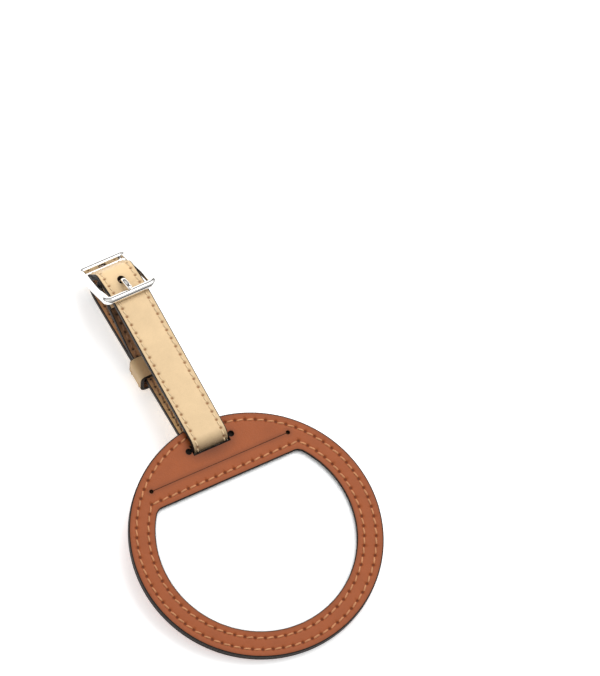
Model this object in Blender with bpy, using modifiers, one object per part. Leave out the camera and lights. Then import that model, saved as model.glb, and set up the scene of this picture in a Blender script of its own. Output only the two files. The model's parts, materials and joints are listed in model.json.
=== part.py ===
"""Round leather luggage tag: a stitched card holder with a D window, hung on a buckled strap loop.

Metres, +Z up. The tag lies on its side of rest, window up: the far rim of the disc and the strap's
fold touch Z = 0. X runs across the strap and +Y runs from the disc to the buckle.
"""

import math

import bmesh
import bpy
from mathutils import Matrix, Vector

NAME = "luggage_tag"

# Clearances
GAP = 0.0003  # between pieces that touch
SHEET_GAP = 0.0002  # between the laminated sheets of the disc
THREAD_GAP = 0.00025  # between a thread and the channel it lies in
CUT_OVER = 0.001  # how far a cutter runs past what it cuts

# Card holder. Its frame: X across, Y towards the buckle, Z out of the window face, origin at its centre
DISC_RADIUS = 0.045
DISC_TILT = math.radians(8.75)  # the strap end is propped up by the loop
PANEL_THICKNESS = 0.0011
CORE_THICKNESS = 0.0009
FILM_THICKNESS = 0.0003
CARD_THICKNESS = 0.0004
EDGE_ROUNDING = 0.0003
WINDOW_RADIUS = 0.0355
WINDOW_CHORD = 0.0222  # the straight side of the D, from the centre
WINDOW_CORNER = 0.0010
POCKET_RADIUS = 0.0404
POCKET_CHORD = 0.0315
FILM_CHORD = 0.0272
CARD_RADIUS = 0.0385
CARD_CHORD = 0.0270
CARD_CORNER = 0.0010
CARD_REST = -0.0016  # the card lies against the low end of its pocket
SLIT_Y = 0.0291
SLIT_HALF = 0.0269
SLIT_WIDTH = 0.0005
SLIT_EYE_RADIUS = 0.00075  # the punched ends of the slit

# Strap slot through the disc
SLOT_Y = 0.0369
SLOT_LOW = 0.0354
SLOT_HIGH = 0.0386
SLOT_EYE_X = 0.0083
SLOT_EYE_RADIUS = 0.00105

# Seams
THREAD_RADIUS = 0.0003
RIM_SEAM_RADIUS = 0.0423
WINDOW_SEAM_INSET = 0.0026
CHANNEL_DEPTH = 0.00045
STRAP_THREAD_HALF = 0.0002
STRAP_CHANNEL_HALF = 0.00045
STRAP_CHANNEL_DEPTH = 0.0005
STRAP_THREAD_TOP = 0.0001
STRAP_THREAD_DEPTH = 0.0003

# Strap: a leather face and a lining, 2.3 mm thick together
STRAP_HALF_WIDTH = 0.00685
FACE_THICKNESS = 0.0010
STRAP_THICKNESS = 0.0023
STRAP_SEAM_X = STRAP_HALF_WIDTH - 0.0017
LINING_TOP = FACE_THICKNESS + GAP
STACK_PITCH = STRAP_THICKNESS + GAP
TIP_Y = 0.0668
TIP_SPARE = 0.0005  # the band is made this much too long, then cut to its point
HOLE_RADIUS = 0.00135
HOLE_PITCH = 0.018
PRONG_HOLE_HALF_LENGTH = 0.00175
PRONG_HOLE_FROM_BAR = 0.0042

# Strap profile in the Y-Z plane, from the disc centre: the outer face runs round these bends
FOLD_Y = 0.1100
FOLD_RADIUS = 0.0066
SLOT_BACK_RADIUS = 0.0042
SLOT_FRONT_RADIUS = 0.0040
SLOT_FRONT_Z = -0.00075
DIP_Y = 0.0990
DIP_RADIUS = 0.0120
RUN_CUT_BACK = 0.0070  # lengths of straight run left on the bend that flexes in the slot
RUN_CUT_FRONT = 0.0072
CLIMB_Y = 0.0815  # where the buckle end leaves the tongue and climbs to the centre bar
CLIMB_RADIUS = 0.0150
TAB_LENGTH = 0.0090  # of the end that is folded round the centre bar
TAB_CLOSING = 0.0014  # how far that end closes on the run that it is sewn to
LINING_FROM_BAR = 0.0036  # the lining and the seams start short of the bar
SEAM_FROM_BAR = 0.0042

# Buckle: a centre-bar frame. Its frame: origin on the centre bar, Y along the frame, Z out of it
BAR_Y = 0.1078
BAR_Z = 0.01425
BUCKLE_TILT = math.radians(-36.0)
BUCKLE_HALF_LENGTH = 0.01420
BUCKLE_HALF_WIDTH = 0.01050
BUCKLE_CORNER = 0.0033
BUCKLE_RISE = 0.00095  # the outer bars stand this far above the centre bar
OPENING_HALF_LENGTH = 0.01160
OPENING_HALF_WIDTH = 0.00755
OPENING_CORNER = 0.0013
FRAME_HEIGHT = 0.0024
FRAME_ROUNDING = 0.0008
CENTRE_BAR_RADIUS = 0.0009
TAB_WRAP_RADIUS = 0.0022
PRONG_RADIUS = 0.0007
PRONG_BREADTH = 1.3  # of its section, as a share of its height
PRONG_EYE_RADIUS = 0.00195
PRONG_EYE_HALF = 0.0010
PRONG_EYE_GAP = 0.0002  # between the eye and the centre bar
PRONG_SLOT_HALF = 0.0013
PRONG_SLOT_REACH = 0.0047  # from the centre bar, along the tab and its run

# Keeper: the leather loop that holds the two back runs together
KEEPER_Y = 0.0760
KEEPER_HALF_LENGTH = 0.0045
KEEPER_WALL = 0.0014
KEEPER_HALF_WIDTH = 0.0074
KEEPER_DOME = 0.0008
KEEPER_CORNER = 0.0006  # inside radius
KEEPER_SEAM = 0.0028  # of each seam, from the loop's middle

ARC_STEP = math.radians(12)
DISC_STEPS = 96

# Levels of the sheets under the window face
CORE_TOP = -PANEL_THICKNESS - SHEET_GAP
CORE_BOTTOM = CORE_TOP - CORE_THICKNESS
CARD_BOTTOM = CORE_BOTTOM
BACK_TOP = CORE_BOTTOM - SHEET_GAP
BACK_BOTTOM = BACK_TOP - PANEL_THICKNESS
DISC_LIFT = DISC_RADIUS * math.sin(DISC_TILT) - BACK_BOTTOM * math.cos(DISC_TILT)

LEATHER_BROWN = (0.40, 0.125, 0.045)
BOARD_DARK = (0.05, 0.03, 0.025)
LEATHER_TAN = (0.80, 0.60, 0.38)
SUEDE_BROWN = (0.27, 0.13, 0.06)
THREAD_BROWN = (0.62, 0.27, 0.12)
THREAD_TAN = (0.86, 0.68, 0.44)
PAPER_WHITE = (0.93, 0.93, 0.92)
FILM_CLEAR = (0.90, 0.93, 0.95)
POLISHED_METAL = (0.85, 0.85, 0.86)


# ---------------------------------------------------------------- profile of the strap


def tag_point(y, z):
    """A point of the disc's frame, in the Y-Z plane of the whole tag."""
    c, s = math.cos(DISC_TILT), math.sin(DISC_TILT)
    return y * c - z * s, y * s + z * c + DISC_LIFT


def buckle_point(y, z):
    """A point of the buckle's frame, in the Y-Z plane of the whole tag."""
    c, s = math.cos(BUCKLE_TILT), math.sin(BUCKLE_TILT)
    return BAR_Y + y * c - z * s, BAR_Z + y * s + z * c


def face_normal(a, b):
    """Direction of the outer face's normal on the straight run between two (y, z, radius) bends."""
    dy, dz = b[0] - a[0], b[1] - a[1]
    return math.atan2(dz, dy) + math.acos((a[2] - b[2]) / math.hypot(dy, dz))


def run_point(a, b, distance, before_b=False):
    """A bend of no radius on the outer face between a and b, so far after a or before b."""
    phi = face_normal(a, b)
    bend, along = (b, -distance) if before_b else (a, distance)
    y = bend[0] + bend[2] * math.cos(phi) + along * math.sin(phi)
    z = bend[1] + bend[2] * math.sin(phi) - along * math.cos(phi)
    return y, z, 0.0


def belt(bends, depth, step=ARC_STEP):
    """Points so deep under the outer face of a strap that runs clockwise round its bends."""
    normals = [face_normal(a, b) for a, b in zip(bends, bends[1:])]
    points = []
    for i, (y, z, radius) in enumerate(bends):
        first = normals[max(i - 1, 0)]
        last = normals[min(i, len(normals) - 1)]
        turn = (first - last) % (2 * math.pi)
        if radius == 0:
            turn = 0
        steps = math.ceil(turn / step)
        for k in range(steps + 1):
            phi = first - turn * k / max(steps, 1)
            r = radius - depth
            points.append((y + r * math.cos(phi), z + r * math.sin(phi)))
    return points


def station(bends, start, distance):
    """Point and normal direction on the outer face, so far along it from the point start."""
    points = belt(bends, 0.0, math.radians(1))
    nearest = min(range(len(points)), key=lambda i: math.dist(points[i], start[:2]))
    left = distance + math.dist(points[nearest], start[:2])
    for a, b in zip(points[nearest:], points[nearest + 1 :]):
        length = math.dist(a, b)
        if length >= left:
            share = left / length
            phi = math.atan2(b[1] - a[1], b[0] - a[0]) + math.pi / 2
            return a[0] + share * (b[0] - a[0]), a[1] + share * (b[1] - a[1]), phi
        left -= length
    raise ValueError("the strap is too short for that hole")


LOWER_BAR_UNDERSIDE = buckle_point(
    -OPENING_HALF_LENGTH, BUCKLE_RISE - FRAME_HEIGHT / 2 + FRAME_ROUNDING / 2
)
SLOT_FACE = SLOT_Y - STRAP_THICKNESS / 2
SLOT_BACK = (*tag_point(SLOT_FACE + SLOT_BACK_RADIUS, BACK_BOTTOM), SLOT_BACK_RADIUS)
SLOT_FRONT = (*tag_point(SLOT_FACE + SLOT_FRONT_RADIUS, SLOT_FRONT_Z), SLOT_FRONT_RADIUS)
DIP = (DIP_Y, LOWER_BAR_UNDERSIDE[1] - GAP - DIP_RADIUS, DIP_RADIUS)
HUMP = (BAR_Y, BAR_Z, TAB_WRAP_RADIUS + STACK_PITCH)
FOLD = (FOLD_Y, FOLD_RADIUS + STRAP_THREAD_TOP, FOLD_RADIUS)
WRAP = (BAR_Y, BAR_Z, TAB_WRAP_RADIUS)
BACK_RUN_NORMAL = face_normal((*FOLD[:2], FOLD_RADIUS - STACK_PITCH), SLOT_BACK)


def outer_back_run(y):
    """The point of the outer back run's face at a given Y."""
    run = (FOLD_Y - y) / -math.sin(BACK_RUN_NORMAL)
    c, s = math.cos(BACK_RUN_NORMAL), math.sin(BACK_RUN_NORMAL)
    return FOLD[0] + FOLD_RADIUS * c + run * s, FOLD[1] + FOLD_RADIUS * s - run * c, 0.0


def climb_bend():
    """The bend that lifts the buckle end off the tongue, towards the centre bar."""
    y, z, _ = outer_back_run(CLIMB_Y)
    inward = STACK_PITCH + CLIMB_RADIUS
    y -= inward * math.cos(BACK_RUN_NORMAL)
    return y, z - inward * math.sin(BACK_RUN_NORMAL), CLIMB_RADIUS


CLIMB = climb_bend()

# the folded tab closes on the run that it is sewn to
TAB_NORMAL = face_normal(WRAP, CLIMB)
TAB_END = (
    BAR_Y + TAB_LENGTH * math.sin(TAB_NORMAL) - TAB_CLOSING * math.cos(TAB_NORMAL),
    BAR_Z - TAB_LENGTH * math.cos(TAB_NORMAL) - TAB_CLOSING * math.sin(TAB_NORMAL),
    0.0,
)

BACK_CUT = run_point(CLIMB, SLOT_BACK, RUN_CUT_BACK, before_b=True)
FRONT_CUT = run_point(SLOT_FRONT, DIP, RUN_CUT_FRONT)
TIP = outer_back_run(TIP_Y)
UNCUT_TIP = outer_back_run(TIP_Y - TIP_SPARE)
BUCKLE_END_RUN = [TAB_END, WRAP, CLIMB, BACK_CUT]
LINED_RUN = [run_point(WRAP, CLIMB, LINING_FROM_BAR), CLIMB, BACK_CUT]
SLOT_BEND_RUN = [
    run_point(CLIMB, SLOT_BACK, RUN_CUT_BACK - GAP, before_b=True),
    SLOT_BACK,
    SLOT_FRONT,
    run_point(SLOT_FRONT, DIP, RUN_CUT_FRONT - GAP),
]
TONGUE_RUN = [FRONT_CUT, DIP, HUMP, FOLD, UNCUT_TIP]

SPAN_LOW = tag_point(-DISC_RADIUS, 0.0)[0]
SPAN_HIGH = buckle_point(BUCKLE_HALF_LENGTH, BUCKLE_RISE + FRAME_HEIGHT / 2)[0]
MIDDLE_Y = (SPAN_LOW + SPAN_HIGH) / 2
SLOT_AXIS = (0.0, *tag_point(SLOT_Y, BACK_BOTTOM / 2))

# ---------------------------------------------------------------- scene, frames and materials


def clear_scene():
    for obj in list(bpy.data.objects):
        bpy.data.objects.remove(obj, do_unlink=True)


def collection(name):
    made = bpy.data.collections.new(name)
    bpy.context.scene.collection.children.link(made)
    return made


def frame(name, location, tilt=0.0, parent=None):
    """An empty that carries a group of parts; on a moving group it stands on the joint's axis."""
    empty = bpy.data.objects.new(name, None)
    empty.empty_display_size = 0.005
    empty.location = location
    empty.rotation_euler = (tilt, 0.0, 0.0)
    empty.parent = parent
    PARTS.objects.link(empty)
    return empty


def material(name, colour, roughness, metallic=0.0, alpha=1.0):
    made = bpy.data.materials.new(name)
    made.use_nodes = True
    shader = made.node_tree.nodes["Principled BSDF"]
    shader.inputs["Base Color"].default_value = (*colour, 1.0)
    shader.inputs["Roughness"].default_value = roughness
    shader.inputs["Metallic"].default_value = metallic
    shader.inputs["Alpha"].default_value = alpha
    made.diffuse_color = (*colour, alpha)
    return made


# ---------------------------------------------------------------- shapes


def add(name, mesh, parent, look=None):
    """A part, or a cutter when it has no material."""
    obj = bpy.data.objects.new(name, mesh)
    obj.parent = parent
    if look:
        PARTS.objects.link(obj)
        obj.data.materials.append(look)
    else:
        CUTTERS.objects.link(obj)
        obj.hide_render = True
        obj.display_type = "WIRE"
    return obj


def curve_mesh(curve, matrix):
    """The closed mesh of a curve, with its loose caps welded, in the parent's frame."""
    obj = bpy.data.objects.new(curve.name, curve)
    CUTTERS.objects.link(obj)
    graph = bpy.context.evaluated_depsgraph_get()
    mesh = bpy.data.meshes.new_from_object(obj.evaluated_get(graph))
    bpy.data.objects.remove(obj)
    mesh.transform(matrix)
    bm = bmesh.new()
    bm.from_mesh(mesh)
    bmesh.ops.remove_doubles(bm, verts=bm.verts, dist=1e-6)
    bmesh.ops.recalc_face_normals(bm, faces=bm.faces)
    bm.to_mesh(mesh)
    bm.free()
    mesh.materials.clear()
    return mesh


def add_spline(curve, points, cyclic=True):
    spline = curve.splines.new("POLY")
    spline.points.add(len(points) - 1)
    for target, point in zip(spline.points, points):
        target.co = (*point, *([0.0] * (3 - len(point))), 1.0)
    spline.use_cyclic_u = cyclic


def plate(name, outlines, low, high, parent, look=None, matrix=None):
    """A flat piece: closed outlines in local X-Y, the later ones holes, filled from low to high in Z."""
    curve = bpy.data.curves.new(name, "CURVE")
    curve.dimensions = "2D"
    curve.fill_mode = "BOTH"
    curve.extrude = (high - low) / 2
    for outline in outlines:
        add_spline(curve, outline)
    shift = Matrix.Translation((0, 0, (low + high) / 2))
    return add(name, curve_mesh(curve, (matrix or Matrix()) @ shift), parent, look)


def tube(name, points, radius, parent, look=None, cyclic=False, resolution=2):
    curve = bpy.data.curves.new(name, "CURVE")
    curve.dimensions = "3D"
    curve.bevel_depth = radius
    curve.bevel_resolution = resolution
    curve.use_fill_caps = True
    add_spline(curve, points, cyclic)
    return add(name, curve_mesh(curve, Matrix()), parent, look)


def cylinder(name, radius, low, high, parent, look=None, matrix=None, steps=24):
    mesh = bpy.data.meshes.new(name)
    bm = bmesh.new()
    bmesh.ops.create_cone(
        bm, cap_ends=True, segments=steps, radius1=radius, radius2=radius, depth=high - low
    )
    bm.transform((matrix or Matrix()) @ Matrix.Translation((0, 0, (low + high) / 2)))
    bm.to_mesh(mesh)
    bm.free()
    return add(name, mesh, parent, look)


def box(name, low, high, parent, look=None):
    mesh = bpy.data.meshes.new(name)
    bm = bmesh.new()
    low, high = Vector(low), Vector(high)
    bmesh.ops.create_cube(bm, size=1.0)
    bm.transform(Matrix.Translation((low + high) / 2) @ Matrix.Diagonal((*(high - low), 1.0)))
    bm.to_mesh(mesh)
    bm.free()
    return add(name, mesh, parent, look)


def combine(obj, others, operation="DIFFERENCE"):
    for other in others:
        modifier = obj.modifiers.new(other.name, "BOOLEAN")
        modifier.operation = operation
        modifier.solver = "EXACT"
        modifier.object = other
    return obj


def merged(name, cutters):
    """One cutter made of several that don't touch, so that one Boolean cuts them all."""
    bm = bmesh.new()
    for cutter in cutters:
        bm.from_mesh(cutter.data)
    mesh = bpy.data.meshes.new(name)
    bm.to_mesh(mesh)
    bm.free()
    parent = cutters[0].parent
    for cutter in cutters:
        bpy.data.objects.remove(cutter)
    return add(name, mesh, parent)


def circle(radius, steps=DISC_STEPS, centre_y=0.0):
    angles = [2 * math.pi * k / steps for k in range(steps)]
    return [(radius * math.cos(a), centre_y + radius * math.sin(a)) for a in angles]


def rounded(corners):
    """A closed outline of (x, y, radius) corners, each turned into an arc of its radius."""
    points = []
    for i, (x, y, radius) in enumerate(corners):
        here = Vector((x, y))
        if radius == 0:
            points.append((x, y))
            continue
        before = (Vector(corners[i - 1][:2]) - here).normalized()
        after = (Vector(corners[(i + 1) % len(corners)][:2]) - here).normalized()
        half = before.angle(after) / 2
        centre = here + (before + after).normalized() * (radius / math.sin(half))
        start = here + before * (radius / math.tan(half)) - centre
        turn = (math.pi - 2 * half) * (1 if before.cross(after) < 0 else -1)
        steps = max(2, math.ceil(abs(turn) / math.radians(20)))
        for k in range(steps + 1):
            spoke = start.copy()
            spoke.rotate(Matrix.Rotation(turn * k / steps, 2))
            points.append(tuple(centre + spoke))
    return points


def d_outline(radius, chord, corner=0.0, centre_y=0.0, steps=72):
    """A circle with its top cut straight at y = chord, with small rounded corners where they meet."""
    rise = math.asin((chord - centre_y) / radius)
    sweep = math.pi + 2 * rise
    margin = 1.5 * corner / radius
    arc = [
        math.pi - rise + margin + (sweep - 2 * margin) * k / steps for k in range(steps + 1)
    ]
    points = [(radius * math.cos(a), centre_y + radius * math.sin(a)) for a in arc]
    if corner:
        half = radius * math.cos(rise)
        points += [(half - 0.4 * corner, chord - 0.25 * corner), (half - 1.3 * corner, chord)]
        points += [(1.3 * corner - half, chord), (0.4 * corner - half, chord - 0.25 * corner)]
    return points


# ---------------------------------------------------------------- card holder


def disc(name, bottom, top, rounded_face, look):
    """A leather disc whose outer edge is rounded on one face."""
    obj = cylinder(name, DISC_RADIUS, bottom, top, TAG, look, steps=DISC_STEPS)
    level = top if rounded_face > 0 else bottom
    bm = bmesh.new()
    bm.from_mesh(obj.data)
    rim = [e for e in bm.edges if all(abs(v.co.z - level) < 1e-6 for v in e.verts)]
    bmesh.ops.bevel(bm, geom=rim, offset=EDGE_ROUNDING, segments=1, affect="EDGES")
    bm.to_mesh(obj.data)
    bm.free()
    return obj


def seam(name, outline, face, outward):
    """A thread that follows an outline on a face of the disc, and the channel that it lies in."""
    line = [(x, y, face) for x, y in outline]
    thread = tube(name, line, THREAD_RADIUS, TAG, THREAD_ON_BROWN, cyclic=True, resolution=1)
    bore = THREAD_RADIUS + THREAD_GAP
    lift = outward * (bore - CHANNEL_DEPTH)
    line = [(x, y, face + lift) for x, y in outline]
    channel = tube(name + "_channel", line, bore, TAG, cyclic=True, resolution=1)
    return thread, channel


def slot_cutters(low, high):
    """The strap's slot: open where the strap passes, slit beyond it, with a round eye at each end."""
    width = STRAP_HALF_WIDTH + GAP
    yield box("slot_cut", (-width, SLOT_LOW, low), (width, SLOT_HIGH, high), TAG)
    half = SLIT_WIDTH / 2
    yield box(
        "slot_slit_cut",
        (-SLOT_EYE_X, SLOT_Y - half, low),
        (SLOT_EYE_X, SLOT_Y + half, high),
        TAG,
    )
    for side in (-1, 1):
        place = Matrix.Translation((side * SLOT_EYE_X, SLOT_Y, 0))
        yield cylinder("slot_eye_cut", SLOT_EYE_RADIUS, low, high, TAG, matrix=place, steps=16)


def build_card_holder():
    over = CUT_OVER
    window = d_outline(WINDOW_RADIUS, WINDOW_CHORD, WINDOW_CORNER)
    window_seam = d_outline(WINDOW_RADIUS + WINDOW_SEAM_INSET, WINDOW_CHORD + WINDOW_SEAM_INSET)
    _, rim_channel = seam("rim_thread_front", circle(RIM_SEAM_RADIUS), 0.0, 1)
    _, window_channel = seam("window_thread", window_seam, 0.0, 1)
    _, back_channel = seam("rim_thread_back", circle(RIM_SEAM_RADIUS), BACK_BOTTOM, -1)

    through = list(slot_cutters(BACK_BOTTOM - over, over))
    slit_low, slit_high = SLIT_Y - SLIT_WIDTH / 2, SLIT_Y + SLIT_WIDTH / 2
    pocket_mouth = [
        box("slit_cut", (-SLIT_HALF, slit_low, CORE_TOP), (SLIT_HALF, slit_high, over), TAG)
    ]
    for side in (-1, 1):
        place = Matrix.Translation((side * SLIT_HALF, SLIT_Y, 0))
        pocket_mouth.append(
            cylinder("slit_eye_cut", SLIT_EYE_RADIUS, CORE_TOP, over, TAG, matrix=place, steps=12)
        )
    opening = plate("window_cut", [window], CORE_TOP, over, TAG)

    front = disc("front_panel", -PANEL_THICKNESS, 0.0, 1, BROWN)
    combine(front, [opening, *pocket_mouth, *through, rim_channel, window_channel])
    back = disc("back_panel", BACK_BOTTOM, BACK_TOP, -1, BROWN)
    combine(back, [*through, back_channel])

    pocket = d_outline(POCKET_RADIUS, POCKET_CHORD)
    core = plate("core_frame", [circle(DISC_RADIUS), pocket], CORE_BOTTOM, CORE_TOP, TAG, BOARD)
    combine(core, through)
    film = d_outline(POCKET_RADIUS - GAP, FILM_CHORD)
    plate("window_film", [film], CORE_TOP - FILM_THICKNESS, CORE_TOP, TAG, FILM)
    card = d_outline(CARD_RADIUS, CARD_CHORD - CARD_REST, CARD_CORNER)
    plate("id_card", [card], CARD_BOTTOM, CARD_BOTTOM + CARD_THICKNESS, CARD, PAPER)


# ---------------------------------------------------------------- strap


def ribbon(name, bends, top, bottom, low_x, high_x, look=None):
    """A band along the strap's profile, from one depth to another under its outer face."""
    outline = belt(bends, top) + belt(bends, bottom)[::-1]
    origin = SLOT_AXIS
    outline = [(y - origin[1], z - origin[2]) for y, z in outline]
    upright = Matrix(((0, 0, 1, 0), (1, 0, 0, 0), (0, 1, 0, 0), (0, 0, 0, 1)))
    return plate(name, [outline], low_x, high_x, STRAP, look, matrix=upright)


def strap_threads(name, run, channel_run):
    """Both edge threads of a stretch of strap, and the channels that they lie in."""
    channels = []
    for side, label in ((-1, "left"), (1, "right")):
        x, half, bore = side * STRAP_SEAM_X, STRAP_THREAD_HALF, STRAP_CHANNEL_HALF
        label = f"{name}_{label}"
        ribbon(label, run, -STRAP_THREAD_TOP, STRAP_THREAD_DEPTH, x - half, x + half, THREAD_ON_TAN)
        channels.append(
            ribbon(
                label + "_channel", channel_run, -GAP, STRAP_CHANNEL_DEPTH, x - bore, x + bore
            )
        )
    return merged(name + "_channels", channels)


def face_matrix(y, z, phi):
    """A frame on the strap's outer face: Z along its normal, X across the strap, Y towards the tip."""
    place = Matrix.Translation((0.0, y - SLOT_AXIS[1], z - SLOT_AXIS[2]))
    return place @ Matrix.Rotation(phi - math.pi / 2, 4, "X")


def hole_cutters():
    """The punched holes of the tongue: one pulled oval round the prong, then two round ones."""
    start = run_point(DIP, HUMP, PRONG_HOLE_FROM_BAR, before_b=True)
    depth = STRAP_THICKNESS + CUT_OVER
    phi = face_normal(DIP, HUMP)
    oval = Matrix.Diagonal((1.0, PRONG_HOLE_HALF_LENGTH / HOLE_RADIUS, 1.0, 1.0))
    place = face_matrix(start[0], start[1], phi) @ oval
    yield cylinder("prong_hole_cut", HOLE_RADIUS, -depth, GAP, STRAP, matrix=place, steps=20)
    for k in (1, 2):
        y, z, phi = station(TONGUE_RUN, start, HOLE_PITCH * k)
        place = face_matrix(y, z, phi)
        yield cylinder("spare_hole_cut", HOLE_RADIUS, -depth, GAP, STRAP, matrix=place, steps=20)


def tip_cutter():
    """What is cut off the tongue's end to leave a right-angled point."""
    wide = STRAP_HALF_WIDTH + CUT_OVER
    past = 2 * TIP_SPARE
    outline = [(-wide, -wide), (0.0, 0.0), (wide, -wide), (wide, past), (-wide, past)]
    turned = face_matrix(TIP[0], TIP[1], BACK_RUN_NORMAL)
    return plate("tip_cut", [outline], -STRAP_THICKNESS - GAP / 2, GAP, STRAP, matrix=turned)


def build_strap():
    wide = STRAP_HALF_WIDTH
    sewn = run_point(WRAP, CLIMB, SEAM_FROM_BAR)
    past_cut = run_point(CLIMB, SLOT_BACK, RUN_CUT_BACK - GAP, before_b=True)
    channels = strap_threads(
        "buckle_end_thread", [sewn, CLIMB, BACK_CUT], [sewn, CLIMB, past_cut]
    )
    face = ribbon("buckle_end_face", BUCKLE_END_RUN, 0.0, FACE_THICKNESS, -wide, wide, TAN)
    prong_slot = cylinder(
        "prong_slot_cut",
        PRONG_SLOT_REACH,
        -PRONG_SLOT_HALF,
        PRONG_SLOT_HALF,
        STRAP,
        matrix=Matrix.Translation((0, BAR_Y - SLOT_AXIS[1], BAR_Z - SLOT_AXIS[2]))
        @ Matrix.Rotation(math.pi / 2, 4, "Y"),
    )
    combine(face, [channels, prong_slot])
    ribbon("buckle_end_lining", LINED_RUN, LINING_TOP, STRAP_THICKNESS, -wide, wide, SUEDE)

    ribbon("slot_bend", SLOT_BEND_RUN, 0.0, STRAP_THICKNESS, -wide, wide, TAN)

    holes = list(hole_cutters())
    tip = tip_cutter()
    seam_end = run_point(FOLD, TIP, STRAP_HALF_WIDTH, before_b=True)
    before_cut = run_point(SLOT_FRONT, DIP, RUN_CUT_FRONT - GAP)
    round_buckle = [DIP, HUMP, FOLD, seam_end]
    channels = strap_threads(
        "tongue_thread", [FRONT_CUT, *round_buckle], [before_cut, *round_buckle]
    )
    face = ribbon("tongue_face", TONGUE_RUN, 0.0, FACE_THICKNESS, -wide, wide, TAN)
    combine(face, [tip, *holes, channels])
    lining = ribbon("tongue_lining", TONGUE_RUN, LINING_TOP, STRAP_THICKNESS, -wide, wide, SUEDE)
    combine(lining, [tip, *holes])


# ---------------------------------------------------------------- buckle and prong


def rounded_rectangle(half_x, half_y, corner):
    turns = ((-1, -1), (1, -1), (1, 1), (-1, 1))
    return rounded([(half_x * x, half_y * y, corner) for x, y in turns])


def build_buckle():
    outlines = [
        rounded_rectangle(BUCKLE_HALF_WIDTH, BUCKLE_HALF_LENGTH, BUCKLE_CORNER),
        rounded_rectangle(OPENING_HALF_WIDTH, OPENING_HALF_LENGTH, OPENING_CORNER),
    ]
    low, high = BUCKLE_RISE - FRAME_HEIGHT / 2, BUCKLE_RISE + FRAME_HEIGHT / 2
    loop = plate("buckle_frame", outlines, low, high, BUCKLE, METAL)
    edges = loop.modifiers.new("rounded_edges", "BEVEL")
    edges.width = FRAME_ROUNDING
    edges.segments = 2
    edges.limit_method = "ANGLE"
    edges.angle_limit = math.radians(40)
    reach = (BUCKLE_HALF_WIDTH + OPENING_HALF_WIDTH) / 2
    line = [(-reach, 0, 0), (reach, 0, 0)]
    bar = tube("centre_bar_joined", line, CENTRE_BAR_RADIUS, BUCKLE, resolution=3)
    combine(loop, [bar], "UNION")


def build_prong():
    """The eye turns on the centre bar, and the stem climbs through the strap's hole to the far bar."""
    along_bar = Matrix.Rotation(math.pi / 2, 4, "Y")
    half = PRONG_EYE_HALF
    eye = cylinder("prong", PRONG_EYE_RADIUS, -half, half, PRONG, METAL, along_bar)
    rest_z = BUCKLE_RISE + FRAME_HEIGHT / 2 + PRONG_RADIUS + SHEET_GAP / 2
    stem = [
        (-0.0006, -0.00120),
        (-0.0022, -0.00125),
        (-0.0038, -0.00070),
        (-0.0049, 0.00050),
        (-0.0058, 0.00185),
        (-0.0067, 0.00305),
        (-0.0079, 0.00370),
        (-0.0095, 0.00360),
        (-0.0115, rest_z + 0.00015),
        (-0.0131, rest_z),
    ]
    line = [(0.0, y, z) for y, z in stem]
    stem_obj = tube("prong_stem_joined", line, PRONG_RADIUS, PRONG, resolution=2)
    stem_obj.scale.x = PRONG_BREADTH
    bore_radius, reach = CENTRE_BAR_RADIUS + PRONG_EYE_GAP, PRONG_EYE_HALF + CUT_OVER
    bore = cylinder("prong_bore", bore_radius, -reach, reach, PRONG, matrix=along_bar)
    combine(eye, [stem_obj], "UNION")
    combine(eye, [bore])


# ---------------------------------------------------------------- keeper


def keeper_outline(wall):
    """The loop's outline in X and height over the tongue, so far outside its opening."""
    side = KEEPER_HALF_WIDTH + wall
    inner = -STRAP_THICKNESS - STACK_PITCH - GAP - wall
    outer = GAP + wall
    radius = KEEPER_CORNER + wall
    dome = [
        (side * x, outer + KEEPER_DOME * math.cos(math.pi / 2 * x), 0.0)
        for x in (0.6, 0.3, 0.0, -0.3, -0.6)
    ]
    right = [(side, inner, radius), (side, outer, radius)]
    left = [(-side, outer, radius), (-side, inner, radius)]
    return rounded([*right, *dome, *left])


def build_keeper():
    rows = Matrix(((1, 0, 0, 0), (0, 0, -1, 0), (0, 1, 0, 0), (0, 0, 0, 1)))
    half = KEEPER_HALF_LENGTH
    outlines = [keeper_outline(KEEPER_WALL), keeper_outline(0.0)]
    loop = plate("keeper_loop", outlines, -half, half, KEEPER, TAN, matrix=rows)
    middle = -STACK_PITCH
    for side, label in ((-1, "lower"), (1, "upper")):
        centre = side * KEEPER_SEAM
        for suffix, reach, depth, wide, look in (
            ("", STRAP_THREAD_TOP, STRAP_THREAD_DEPTH, STRAP_THREAD_HALF, THREAD_ON_TAN),
            ("_channel", GAP, STRAP_CHANNEL_DEPTH, STRAP_CHANNEL_HALF, None),
        ):
            over = [p for p in keeper_outline(KEEPER_WALL + reach) if p[1] > middle]
            under = [p for p in keeper_outline(KEEPER_WALL - depth) if p[1] > middle]
            band = plate(
                f"keeper_thread_{label}{suffix}",
                [over + under[::-1]],
                centre - wide,
                centre + wide,
                KEEPER,
                look,
                matrix=rows,
            )
            if not look:
                combine(loop, [band])


# ---------------------------------------------------------------- the whole tag

clear_scene()
PARTS = collection(NAME)
CUTTERS = collection("cutters")

BROWN = material("brown_leather", LEATHER_BROWN, 0.55)
TAN = material("tan_leather", LEATHER_TAN, 0.50)
SUEDE = material("suede_lining", SUEDE_BROWN, 0.90)
BOARD = material("leather_board", BOARD_DARK, 0.60)
THREAD_ON_BROWN = material("rust_thread", THREAD_BROWN, 0.60)
THREAD_ON_TAN = material("sand_thread", THREAD_TAN, 0.60)
PAPER = material("card_paper", PAPER_WHITE, 0.80)
FILM = material("clear_film", FILM_CLEAR, 0.10, alpha=0.3)
METAL = material("polished_metal", POLISHED_METAL, 0.12, metallic=1.0)

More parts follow.
